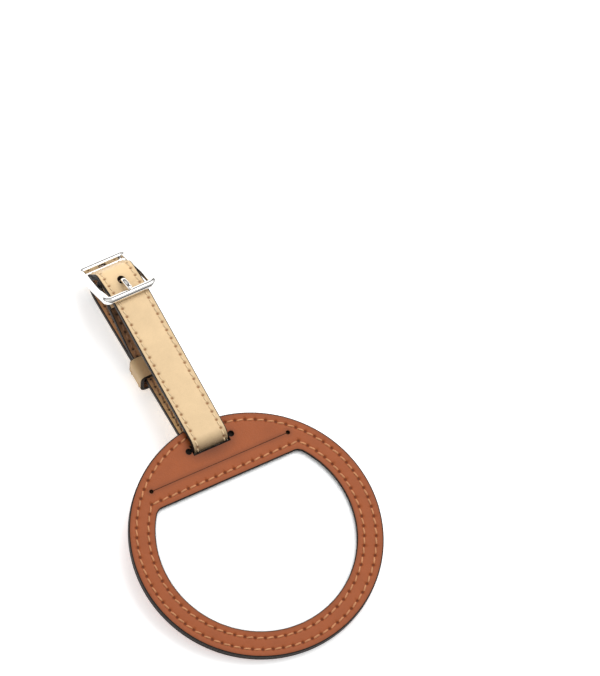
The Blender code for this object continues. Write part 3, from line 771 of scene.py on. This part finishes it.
def patched(look, tone, colour, patches):
    """The tone with soft ovals of another shade of its colour.

    A patch is the oval's height on the sheet, its half width, its reach up and down, how much it
    counts in the middle, and the factor that makes its shade.
    """
    # A patch with a factor above one is painted light; one with a factor below one is painted shade.
    for height, half_width, reach, share, factor in patches:
        scale = Vector((MM / half_width, MM / reach, 0.0))
        shift = Vector((0.0, -height / reach, 0.0))
        oval_place = look.node("Mapping", Vector=look.place, Scale=scale, Location=shift)
        length = {"operation": "LENGTH"}
        away = look.node("VectorMath", length, Vector=oval_place["Vector"])["Value"]
        tone = look.mix(look.between(away, 0.0, 1.0, share, 0.0), tone, shade(colour, factor))
    return tone


def grained(name, colour, pit_colour, burnish, grain, mottle=0.07, patches=()):
    """Smooth full-grain leather: fine pebbled grain, uneven dye, darker towards its cut edges."""
    look = Look(name)
    wander = look.noise(0.9, 2.0)
    warp = look.node("TexNoise", Vector=look.place, Scale=1.3)["Color"]
    warped = look.mix(0.55, look.place, warp, "ADD")
    smooth = {"feature": "SMOOTH_F1"}
    cells = look.node("TexVoronoi", smooth, Vector=warped, Scale=2.3)["Distance"]
    fine = look.noise(7.0, 4.0)
    cloud = look.noise(0.11, 3.0, 0.6)
    tone = look.clouded(cloud, colour, 1 - mottle, 1 + mottle)
    pores = look.between(cells, 0.25, 0.75, 0.0, grain * 0.28)
    tone = look.mix(pores, tone, shade(colour, 0.80))
    specks = look.between(wander, 0.58, 0.72, 0.0, 0.12)
    tone = look.mix(specks, tone, shade(colour, 1.12))
    # The patches are painted light and painted shade at given places on the sheet.
    tone = patched(look, tone, colour, patches)
    tone = look.mix(look.maths("MULTIPLY", look.mark("rim"), burnish), tone, shade(colour, 0.45))
    tone = look.mix(look.mark("pit"), tone, pit_colour)
    look.set(Base_Color=tone)
    look.set(Roughness=look.between(fine, 0.3, 0.7, 0.42, 0.58), Specular_IOR_Level=0.22)
    height = look.maths("ADD", look.maths("MULTIPLY", cells, -0.7), look.maths("MULTIPLY", fine, 0.45))
    look.bump(height, grain, 0.09)
    return look.material


def painted_edge():
    """Thick, slightly glossy edge paint, nearly black, with the ripple of a hand-painted bead."""
    look = Look("edge_paint")
    ripple = look.noise(1.1, 3.0)
    look.set(Base_Color=look.mix(ripple, (0.006, 0.004, 0.003), (0.022, 0.014, 0.010)))
    look.set(Roughness=look.between(look.noise(4.0), 0.3, 0.7, 0.40, 0.60), Specular_IOR_Level=0.16)
    look.bump(ripple, 0.5, 0.15)
    return look.material


def suede(name, colour, nap=0.9, patches=()):
    """Split suede: a short uneven nap that catches light in patches."""
    look = Look(name)
    nap_noise = look.noise(5.5, 5.0, 0.7)
    cloud = look.noise(0.35, 4.0, 0.65)
    tone = look.clouded(cloud, colour, 0.80, 1.35)
    tone = look.mix(look.between(nap_noise, 0.35, 0.7, 0.0, 0.5), tone, shade(colour, 0.62))
    # The patches are painted light and painted shade at given places on the sheet.
    tone = patched(look, tone, colour, patches)
    tone = look.mix(look.mark("pit"), tone, shade(colour, 0.15))
    look.set(Base_Color=tone, Roughness=0.95, Specular_IOR_Level=0.15, Sheen_Weight=0.25)
    look.bump(nap_noise, nap, 0.16)
    return look.material


def thread(name, colour):
    """Waxed three-ply thread: fine fibres along it and a soft shine."""
    look = Look(name)
    fibres = look.noise(14.0, 3.0, 0.6)
    drift = look.noise(0.45, 2.0)
    tone = look.clouded(drift, colour, 0.84, 1.14)
    tone = look.mix(look.between(fibres, 0.4, 0.7, 0.0, 0.4), tone, shade(colour, 0.68))
    look.set(Base_Color=tone, Roughness=0.52, Specular_IOR_Level=0.4, Sheen_Weight=0.15)
    look.bump(fibres, 0.5, 0.08)
    return look.material


def chrome():
    """Bright nickel plate: nearly a mirror, with faint polishing lines and a little handling haze."""
    look = Look("polished_metal_plate")
    lines = look.noise(3.0, 4.0, 0.6, stretch=(1.0, 6.0, 6.0))
    haze = look.noise(0.25, 3.0)
    look.set(Base_Color=look.mix(haze, (0.80, 0.785, 0.76), (0.87, 0.86, 0.84)), Metallic=1.0)
    look.set(Roughness=look.between(haze, 0.3, 0.7, 0.05, 0.13))
    look.bump(lines, 0.02, 0.05)
    return look.material


def card_stock():
    """White card: soft fibres under a matt calendered face."""
    look = Look("card_stock")
    fibres = look.noise(3.5, 5.0, 0.7, stretch=(1.0, 2.2, 1.0))
    look.set(Base_Color=look.mix(fibres, (0.955, 0.955, 0.95), (0.995, 0.995, 0.99)))
    look.set(Roughness=0.72, Specular_IOR_Level=0.25)
    look.bump(fibres, 0.12, 0.05)
    return look.material


def clear_film():
    """Clear vinyl: light passes straight through, and a thin gloss lies on top."""
    look = Look("clear_vinyl")
    look.tree.nodes.remove(look.shader)
    clear = look.node("BsdfTransparent", Color=(0.998, 0.999, 1.0, 1.0))
    ripple = look.noise(0.12, 2.0)
    bump = look.node("Bump", Height=ripple, Strength=0.3, Distance=0.4 * MM)
    gloss = look.node("BsdfGlossy", Roughness=0.06, Normal=bump["Normal"])
    edge = look.node("Fresnel", IOR=1.4, Normal=bump["Normal"])
    share = look.maths("MULTIPLY", edge["Fac"], 0.45)
    both = look.fed("MixShader", (share, clear["BSDF"], gloss["BSDF"]))
    output = next(n for n in look.tree.nodes if n.type == "OUTPUT_MATERIAL")
    look.put(output.inputs["Surface"], both.outputs[0])
    return look.material


# A patch this wide, in metres, is an even band across any sheet.
WIDE = 1.0
# Painted shade on the disc's leather just below the slot, where the strap goes in.
PAINTED_SHADE_BELOW_SLOT = SLOT_LOW, 10.5 * MM, 5.6 * MM, 1.0, 0.42
# Painted shade on the strap's face where it bends down into the slot.
PAINTED_SHADE_ON_SLOT_BEND = SLOT_FRONT_SPAN[0] + 0.8 * MM, WIDE, 5.6 * MM, 0.9, 0.34
# Painted light on the strap's face over the hump at the buckle's bar.
PAINTED_LIGHT_ON_HUMP = sum(HUMP_SPAN) / 2, WIDE, 9.0 * MM, 0.9, 1.25
# Painted light on the lining near the slot, fading over a long way along the strap.
PAINTED_LIGHT_NEAR_SLOT = SLOT_BACK_SPAN[0] - 4.0 * MM, WIDE, 30.0 * MM, 1.0, 3.6
# Painted shade on the lining under the buckle, between the strap's layers.
PAINTED_SHADE_NEAR_BAR = WRAP_SPAN[1] + 12.0 * MM, WIDE, 18.0 * MM, 0.9, 0.3
# Painted light on the lining past the fold, inside the loop.
PAINTED_LIGHT_IN_FOLD = FOLD_SPAN[1] + 10.0 * MM, WIDE, 18.0 * MM, 0.8, 1.8

BROWN = grained(
    "brown_grain", (0.290, 0.070, 0.0165), (0.13, 0.030, 0.010), burnish=0.5, grain=0.8, patches=[PAINTED_SHADE_BELOW_SLOT]
)
TAN = grained(
    "tan_grain", (0.640, 0.465, 0.268), (0.27, 0.135, 0.06), burnish=0.2, grain=0.7, mottle=0.06,
    patches=[PAINTED_SHADE_ON_SLOT_BEND, PAINTED_LIGHT_ON_HUMP],
)
EDGE = painted_edge()
LINING = suede("suede_nap", (0.36, 0.19, 0.09), patches=[PAINTED_LIGHT_NEAR_SLOT, PAINTED_SHADE_NEAR_BAR, PAINTED_LIGHT_IN_FOLD])
FLESH = suede("leather_flesh", (0.26, 0.12, 0.055), nap=0.6)
# The board is near-black, as painted shade for the deep punched eyes of the slot where it shows.
BOARD_PAINTED_SHADE = suede("board_fibre", (0.02, 0.013, 0.010), nap=0.4)
RUST = thread("rust_thread_wax", (0.50, 0.205, 0.080))
SAND = thread("sand_thread_wax", (0.69, 0.515, 0.305))
BOBBIN = thread("bobbin_thread_wax", (0.26, 0.13, 0.06))
PLATE = chrome()
PAPER = card_stock()
FILM = clear_film()

# ---- card holder


def swelling(size, height, seed, sunk=0.0):
    """A relief: the low swell of the leather that no real sheet is free of."""
    shift = Vector((seed * 7.1, seed * 3.7, 0.0))

    def relief(flat):
        places = [Vector((x / size, y / size, 0.0)) + shift for x, y in flat[:, :2]]
        return np.array([height * noise.noise(place) for place in places]) - sunk

    return relief


def face_down(flat):
    """Lays a flat sheet on the disc's back."""
    return on_disc(BACK_BOTTOM)(flat * np.array((-1.0, 1.0, -1.0)))


def build_card_holder():
    """The disc's layers, each thickened towards its neighbour so that no gap shows at the rim."""
    rim = pricked(circle(RIM_SEAM_RADIUS, 0.2 * MM), RIM_PITCH, closed=True)
    seam = d_outline(WINDOW_RADIUS + WINDOW_SEAM_INSET, WINDOW_CHORD + WINDOW_SEAM_INSET, 0.0, 400)
    window_rows = [pricked(seam, RIM_PITCH), pricked((seam[-1], seam[0]), RIM_PITCH)]
    window = d_outline(WINDOW_RADIUS, WINDOW_CHORD, WINDOW_CORNER)
    thicker = (PANEL_BOTTOM - BOARD_TOP) / 2 * 0.8

    front = sheet(
        "front_leather", circle(DISC_RADIUS), [window, slot_outline(), slit_outline()], on_disc(0.0),
        [BROWN, EDGE, FLESH], "brown_leather", thicker - PANEL_BOTTOM, DISC_ROUNDING,
        hole_rounding=[WINDOW_ROUNDING, HOLE_ROUNDING, SLIT_ROUNDING], seams=[rim, *window_rows],
        inner_seams=False, relief=swelling(9 * MM, 0.03 * MM, seed=1),
    )
    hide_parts("front_panel")
    back = sheet(
        "back_leather", [(-x, y) for x, y in circle(DISC_RADIUS)], [slot_outline()], face_down,
        [BROWN, EDGE, FLESH], "brown_leather", BACK_TOP - BACK_BOTTOM + thicker, DISC_ROUNDING,
        seams=[rim], inner_seams=False, relief=swelling(11 * MM, 0.03 * MM, seed=2),
    )
    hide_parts("back_panel")
    pocket = d_outline(POCKET_RADIUS, POCKET_CHORD, 0.5 * MM)
    board = sheet(
        "core_board", circle(DISC_RADIUS - 0.05 * MM), [pocket, board_slot_outline()],
        on_disc(BOARD_TOP + thicker), [BOARD_PAINTED_SHADE, EDGE, BOARD_PAINTED_SHADE], "leather_board",
        BOARD_TOP - BOARD_BOTTOM + 2 * thicker, 0.10 * MM, hole_rounding=0.05 * MM, step=2.0 * MM,
    )
    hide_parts("core_frame")
    film = sheet(
        "window_vinyl", d_outline(POCKET_RADIUS - GAP, FILM_CHORD, 0.5 * MM), [], on_disc(FILM_TOP),
        [FILM] * 3, "clear_film", FILM_TOP - FILM_BOTTOM, 0.05 * MM, step=2.0 * MM,
        relief=swelling(16 * MM, 0.05 * MM, seed=3, sunk=0.05 * MM),
    )
    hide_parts("window_film")
    stitch_front = stitches("rim_stitches_front", [rim], on_disc(0.0), RUST, "rust_thread", 3)
    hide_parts("rim_thread_front")
    stitch_window = stitches("window_stitches", window_rows, on_disc(0.0), RUST, "rust_thread", 4)
    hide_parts("window_thread")
    stitch_back = stitches(
        "rim_stitches_back", [rim], on_disc(BACK_BOTTOM), RUST, "rust_thread", 5, side=-1
    )
    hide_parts("rim_thread_back")
    for obj in (front, back, board, film, stitch_front, stitch_window, stitch_back):
        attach(obj, "tag")


def build_card():
    """A plain card that fills the pocket, with nothing written on it."""
    radius = (CARD_HIGH.x - CARD_LOW.x) / 2
    centre = CARD_LOW.y + radius
    outline = [(x, y + centre) for x, y in d_outline(radius, CARD_HIGH.y - centre, 1.0 * MM)]
    card = sheet(
        "card", outline, [], on_disc(CARD_HIGH.z), [PAPER] * 3, "card_paper",
        CARD_HIGH.z - CARD_LOW.z, 0.06 * MM, step=2.0 * MM,
        relief=swelling(30 * MM, 0.04 * MM, seed=4, sunk=0.04 * MM),
    )
    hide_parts("id_card")
    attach(card, "card")


# ---- strap


def strap_depth(flat):
    """The strap is bare leather round the bar, and lined everywhere else."""
    start = WRAP_SPAN[1] + LINING_FROM_BAR - LINING_EARLY
    t = np.clip((flat[:, 1] - start) / LINING_TAPER, 0, 1)
    return FACE_THICKNESS + (STRAP_THICKNESS - FACE_THICKNESS) * t * t * (3 - 2 * t)


def strap_crown(flat):
    """The face swells a little between its two seams."""
    across = np.clip(np.abs(flat[:, 0]) / (STRAP_HALF_WIDTH - SEAM_INSET), 0, 1)
    return CROWN_HEIGHT * (1 - across**2) - CROWN_SUNK + swelling(7 * MM, 0.03 * MM, seed=5)(flat)


def build_strap():
    half, length = STRAP_HALF_WIDTH, STRAP_ROUTE.length
    outline = [(-half, 0.0), (half, 0.0), (half, length - half), (0.0, length), (-half, length - half)]
    prong_hole = HUMP_SPAN[0] - PRONG_HOLE_FROM_BAR
    wrap_low, wrap_high = WRAP_SPAN[0] - PRONG_SLOT_PAST_WRAP, WRAP_SPAN[1] + PRONG_SLOT_PAST_WRAP
    holes = [
        oblong(PRONG_SLOT_HALF, wrap_low, wrap_high, PRONG_SLOT_CORNER),
        oval(HOLE_RADIUS, PRONG_HOLE_HALF_LENGTH, 28, prong_hole),
        *(oval(HOLE_RADIUS, HOLE_RADIUS, 28, prong_hole + k * HOLE_PITCH) for k in (1, 2)),
    ]
    x = half - SEAM_INSET
    seam_start = WRAP_SPAN[1] + SEAM_FROM_BAR
    apex = length - SEAM_INSET * sqrt(2)
    left = pricked([(-x, seam_start), (-x, apex - x)], STRAP_PITCH)
    right = [(-px, py) for px, py in left]
    point_left = pricked([(-x, apex - x), (0.0, apex)], POINT_PITCH)
    point_right = [(-px, py) for px, py in point_left]
    seams = [left, right, point_left, point_right]
    strap = sheet(
        "strap_leather", outline, holes, on_strap, [TAN, EDGE, LINING], "tan_leather", strap_depth,
        BAND_ROUNDING, step=0.6 * MM, seams=seams, relief=strap_crown,
    )
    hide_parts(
        "buckle_end_face", "buckle_end_lining", "slot_bend", "tongue_face", "tongue_lining"
    )
    outer = stitches(
        "strap_stitches_face", seams, on_strap, SAND, "sand_thread", 6, radius=STRAP_THREAD_RADIUS
    )
    under_tab = WRAP_SPAN[1] + TAB_LENGTH
    shown = [[hole for hole in row if hole[1] > under_tab] for row in seams]
    inner = stitches(
        "strap_stitches_lining", shown, on_strap, BOBBIN, "sand_thread", 7,
        level=lambda flat: -strap_depth(flat), side=-1,
    )
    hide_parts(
        "buckle_end_thread_left", "buckle_end_thread_right", "tongue_thread_left",
        "tongue_thread_right",
    )
    for obj in (strap, outer, inner):
        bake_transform(obj)


# ---- keeper


def keeper_outline():
    """The section of the keeper's outer face, which is domed where it shows."""
    side = KEEPER_HALF_WIDTH + KEEPER_WALL
    inner = -STRAP_THICKNESS - STACK_PITCH - GAP - KEEPER_WALL
    outer = GAP + KEEPER_WALL
    radius = KEEPER_CORNER + KEEPER_WALL
    dome = [
        (side * x, outer + KEEPER_DOME * cos(pi / 2 * x), 0.0)
        for x in (0.6, 0.45, 0.3, 0.15, 0.0, -0.15, -0.3, -0.45, -0.6)
    ]
    right = [(side, inner, radius), (side, outer, radius)]
    left = [(-side, outer, radius), (-side, inner, radius)]
    return rounded([(0.0, inner, 0.0), *right, *dome, *left], 6.0)


def keeper_route():
    """Round the keeper's outer face, from the middle of its inner side, running clockwise."""
    loop = np.array(subdivided(keeper_outline(), 0.25 * MM))
    loop = np.concatenate((loop[:1], loop[:0:-1]))
    way = np.roll(loop, -1, axis=0) - np.roll(loop, 1, axis=0)
    normals = np.arctan2(way[:, 1], way[:, 0]) + pi / 2
    return Route([*loop, loop[0]], [*normals, normals[0]])


def build_keeper():
    at = Vector((0.0, *outer_back_run(KEEPER_Y)))
    at.y += CENTRE_Y
    matrix = Matrix.Translation(at) @ Matrix.Rotation(BACK_RUN_NORMAL - pi / 2, 4, "X")
    route = keeper_route()

    def lay(flat):
        across, x, height = route.lay(flat).T
        return moved(np.stack((x, -across, height), axis=1), matrix)

    half, low, high = KEEPER_HALF_LENGTH, KEEPER_JOINT, route.length - KEEPER_JOINT
    outline = [(-half, low), (half, low), (half, high), (-half, high)]
    middle = route.length / 2
    reach = KEEPER_HALF_WIDTH + KEEPER_WALL + KEEPER_SEAM_PAST_SIDE
    rows = [
        pricked([(x, middle - reach), (x, middle + reach)], KEEPER_PITCH)
        for x in (-KEEPER_SEAM, KEEPER_SEAM)
    ]
    # Painted shade on the keeper's inner side and side walls, under the strap's front run; its colour is a
    # little darker and warmer than the strap's to suit that painted shade.
    painted_shade_inside = [(end, WIDE, 22.0 * MM, 1.0, 0.6) for end in (0.0, route.length)]
    grain = grained(
        "keeper_grain", (0.640, 0.440, 0.235), (0.24, 0.11, 0.045), burnish=0.3, grain=0.9,
        mottle=0.08, patches=painted_shade_inside,
    )
    keeper = sheet(
        "keeper_leather", outline, [], lay, [grain, EDGE, FLESH], "tan_leather", KEEPER_WALL,
        BAND_ROUNDING, step=0.5 * MM, seams=rows, inner_seams=False,
        relief=swelling(5 * MM, 0.02 * MM, seed=8),
    )
    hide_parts("keeper_loop")
    thread_rows = stitches(
        "keeper_stitches", rows, lay, SAND, "sand_thread", 9, radius=KEEPER_THREAD_RADIUS
    )
    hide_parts("keeper_thread_lower", "keeper_thread_upper")
    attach(keeper, "keeper")
    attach(thread_rows, "keeper")


# ---- buckle and prong

BUCKLE = Matrix.Translation(BAR) @ Matrix.Rotation(BUCKLE_TILT, 4, "X")


def squarish(count, power):
    """Points round a circle that is pushed out towards a square."""
    points = []
    for c, s in oval(1.0, 1.0, count):
        bulge = (abs(c) ** power + abs(s) ** power) ** (-1 / power)
        points.append((c * bulge, s * bulge))
    return points


def build_buckle():
    """A cast frame with a flat, softly rounded section, and a round centre bar with small shoulders."""
    wide = (BUCKLE_HALF_WIDTH - OPENING_HALF_WIDTH) / 2
    deep = (BUCKLE_HALF_LENGTH - OPENING_HALF_LENGTH) / 2
    half_x, half_y = BUCKLE_HALF_WIDTH - wide, BUCKLE_HALF_LENGTH - deep
    middle_line = oblong(half_x, -half_y, half_y, BUCKLE_CORNER - wide, 6.0)
    line = turned(subdivided(middle_line, 1.0 * MM), True)
    ways = inward(line)
    ways /= np.linalg.norm(ways, axis=1)[:, None]
    profile = squarish(28, 3.2)
    sections = []
    for (x, y), way in zip(line, ways):
        along_x, along_y = np.abs(way)
        out = way * (wide * along_x + deep * along_y) / (along_x + along_y)
        ring = [(x + out[0] * c, y + out[1] * c, BUCKLE_RISE + FRAME_HEIGHT / 2 * s) for c, s in profile]
        sections.append([BUCKLE @ Vector(point) for point in ring])
    rim = sweep("buckle_frame_cast", sections, PLATE, "polished_metal", closed=True)
    reach = (BUCKLE_HALF_WIDTH + OPENING_HALF_WIDTH) / 2
    sections = []
    for x in np.linspace(-reach, reach, 41):
        shoulder = np.clip((abs(x) - OPENING_HALF_WIDTH) / BAR_SHOULDER + 0.5, 0, 1) ** 2
        radius = CENTRE_BAR_RADIUS * (1 + 0.25 * shoulder)
        ring = oval(radius, radius, 20, BUCKLE_RISE * 0.35 * shoulder)
        sections.append([BUCKLE @ Vector((x, *point)) for point in ring])
    bar = sweep("buckle_centre_bar", sections, PLATE, "polished_metal")
    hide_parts("buckle_frame")
    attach(rim, "buckle")
    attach(bar, "buckle")


def smooth_line(points, per_span):
    """A curve through the points."""
    line = []
    for i in range(len(points) - 1):
        near = points[max(i - 1, 0)], points[i], points[i + 1], points[min(i + 2, len(points) - 1)]
        p0, p1, p2, p3 = (Vector(point) for point in near)
        for k in range(per_span):
            t = k / per_span
            square = (2 * p0 - 5 * p1 + 4 * p2 - p3) * t * t
            cube = (3 * p1 - p0 - 3 * p2 + p3) * t**3
            line.append(0.5 * (2 * p1 + (p2 - p0) * t + square + cube))
    line.append(Vector(points[-1]))
    return line


def blunted(distance, taper):
    """The share of its full size that a rounded end has at a distance from its tip."""
    return sqrt(1 - max(0.0, 1 - distance / taper) ** 2)


def build_prong():
    """A flat wire curled round the centre bar that climbs through the strap's hole to the far bar.

    It is drawn in the buckle's frame, in millimetres.
    """
    rest = (BUCKLE_RISE + FRAME_HEIGHT / 2 + PRONG_ABOVE_FRAME) / MM
    curl_half, stem_half = 0.42, 0.70
    curl_taper, tip_taper, least = 0.3, 0.8, 0.06
    curl = arc((0.0, 0.0), 1.5, 205, -98, 24)
    stem = [
        (-1.6, -1.42), (-2.7, -1.22), (-3.9, -0.62), (-4.9, 0.50), (-5.8, 1.85), (-6.7, 3.00),
        (-7.9, 3.62), (-9.5, 3.55), (-11.5, rest + 0.12), (-13.0, rest), (-13.75, rest - 0.05),
    ]
    line = smooth_line(curl + stem, 3)
    profile = squarish(20, 2.6)
    total = len(line) - 1
    sections = []
    for i, point in enumerate(line):
        way = (line[min(i + 1, total)] - line[max(i - 1, 0)]).normalized()
        up = Vector((-way.y, way.x))
        share = i / total
        past_curl = min(1.0, max(0.0, (share - 0.66) / 0.08))
        half_up = curl_half + (stem_half - curl_half) * past_curl
        half_x = 1.0 - 0.1 * past_curl
        from_curl = (point - line[0]).length if share < 0.5 else curl_taper
        blunt = blunted((line[-1] - point).length, tip_taper) * blunted(from_curl, curl_taper)
        blunt = max(blunt, least)
        ring = []
        for c, s in profile:
            place = (half_x * blunt * c, *(point + up * (half_up * blunt * s)))
            ring.append(BUCKLE @ (Vector(place) * MM))
        sections.append(ring)
    prong = sweep("prong_wire", sections, PLATE, "polished_metal")
    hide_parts("prong")
    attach(prong, "prong")


# ---- floor, light and camera

# The photo's directions, and where its middle lies from the disc's centre.
RIGHT = Vector((0.8863, -0.4583, 0.0688))
UP = Vector((0.3839, 0.8093, 0.4447))
BACK = Vector((-0.2596, -0.3678, 0.8929))
AIM_RIGHT = 15.2 * MM
AIM_UP = 68.6 * MM
CAMERA_DISTANCE = 8.86
CAMERA_LENS = 1350.0
SENSOR_WIDTH = 36.0

WHITE = (1.0, 1.0, 1.0, 1.0)
FLOOR_HALF_SIZE = 3.0
FLOOR_DROP = 0.3 * MM
FLOOR_LOOK = {
    "Base Color": (0.93, 0.93, 0.93, 1.0),
    "Roughness": 0.9,
    "Specular IOR Level": 0.1,
    "Emission Color": WHITE,
    "Emission Strength": 0.36,
}
SKY_LOW = 0.10, (0.10, 0.09, 0.08, 1.0)
SKY_HIGH = 0.38, WHITE
SKY_STRENGTH = 0.78
LIT_ABOVE_CENTRE = 40.0 * MM


def looking(back, up):
    """A rotation whose -Z looks away from the way back, with its Y near up."""
    z = back.normalized()
    x = up.cross(z).normalized()
    return Matrix((x, z.cross(x), z)).transposed().to_4x4()


def build_camera():
    data = bpy.data.cameras.new("camera")
    data.lens = CAMERA_LENS
    data.sensor_width = SENSOR_WIDTH
    camera = added("camera", data)
    aim = TAG.translation + RIGHT * AIM_RIGHT + UP * AIM_UP
    place = Matrix.Translation(aim + BACK.normalized() * CAMERA_DISTANCE)
    camera.matrix_world = place @ looking(BACK, UP)
    bpy.context.scene.camera = camera


def area_light(name, way, distance, size, power):
    data = bpy.data.lights.new(name, "AREA")
    data.size = size
    data.energy = power
    way = way.normalized()
    aim = TAG.translation + Vector((0.0, LIT_ABOVE_CENTRE, 0.0))
    place = Matrix.Translation(aim + way * distance)
    added(name, data).matrix_world = place @ looking(way, Vector((0, 1, 0.1)))


def build_floor():
    look = bpy.data.materials.new("pale_floor")
    look.use_nodes = True
    for name, value in FLOOR_LOOK.items():
        look.node_tree.nodes["Principled BSDF"].inputs[name].default_value = value
    half = FLOOR_HALF_SIZE
    mesh = bpy.data.meshes.new("floor")
    corners = [(-half, -half, 0.0), (half, -half, 0.0), (half, half, 0.0), (-half, half, 0.0)]
    mesh.from_pydata(corners, [], [(0, 1, 2, 3)])
    mesh.materials.append(look)
    floor = added("floor", mesh)
    floor.location.z = -FLOOR_DROP


def build_sky():
    """A white sky that is dark near and below the horizon, for the metal to mirror."""
    world = bpy.data.worlds.new("studio")
    world.use_nodes = True
    tree = world.node_tree
    background = tree.nodes["Background"]
    place = tree.nodes.new("ShaderNodeTexCoord")
    split = tree.nodes.new("ShaderNodeSeparateXYZ")
    ramp = tree.nodes.new("ShaderNodeValToRGB")
    tree.links.new(place.outputs["Generated"], split.inputs["Vector"])
    tree.links.new(split.outputs["Z"], ramp.inputs["Fac"])
    for stop, (position, colour) in zip(ramp.color_ramp.elements, (SKY_LOW, SKY_HIGH)):
        stop.position, stop.color = position, colour
    tree.links.new(ramp.outputs["Color"], background.inputs["Color"])
    background.inputs["Strength"].default_value = SKY_STRENGTH
    bpy.context.scene.world = world


# ---- the whole tag

build_camera()
build_floor()
build_sky()
area_light("key", BACK * 0.65 + UP * 0.75 + RIGHT * 0.4, distance=0.9, size=0.7, power=6.2)
area_light("fill", BACK * 0.8 - RIGHT * 0.8, distance=1.1, size=1.1, power=1.2)
bpy.context.scene.view_settings.view_transform = "Standard"

build_card_holder()
build_card()
build_strap()
build_keeper()
build_buckle()
build_prong()
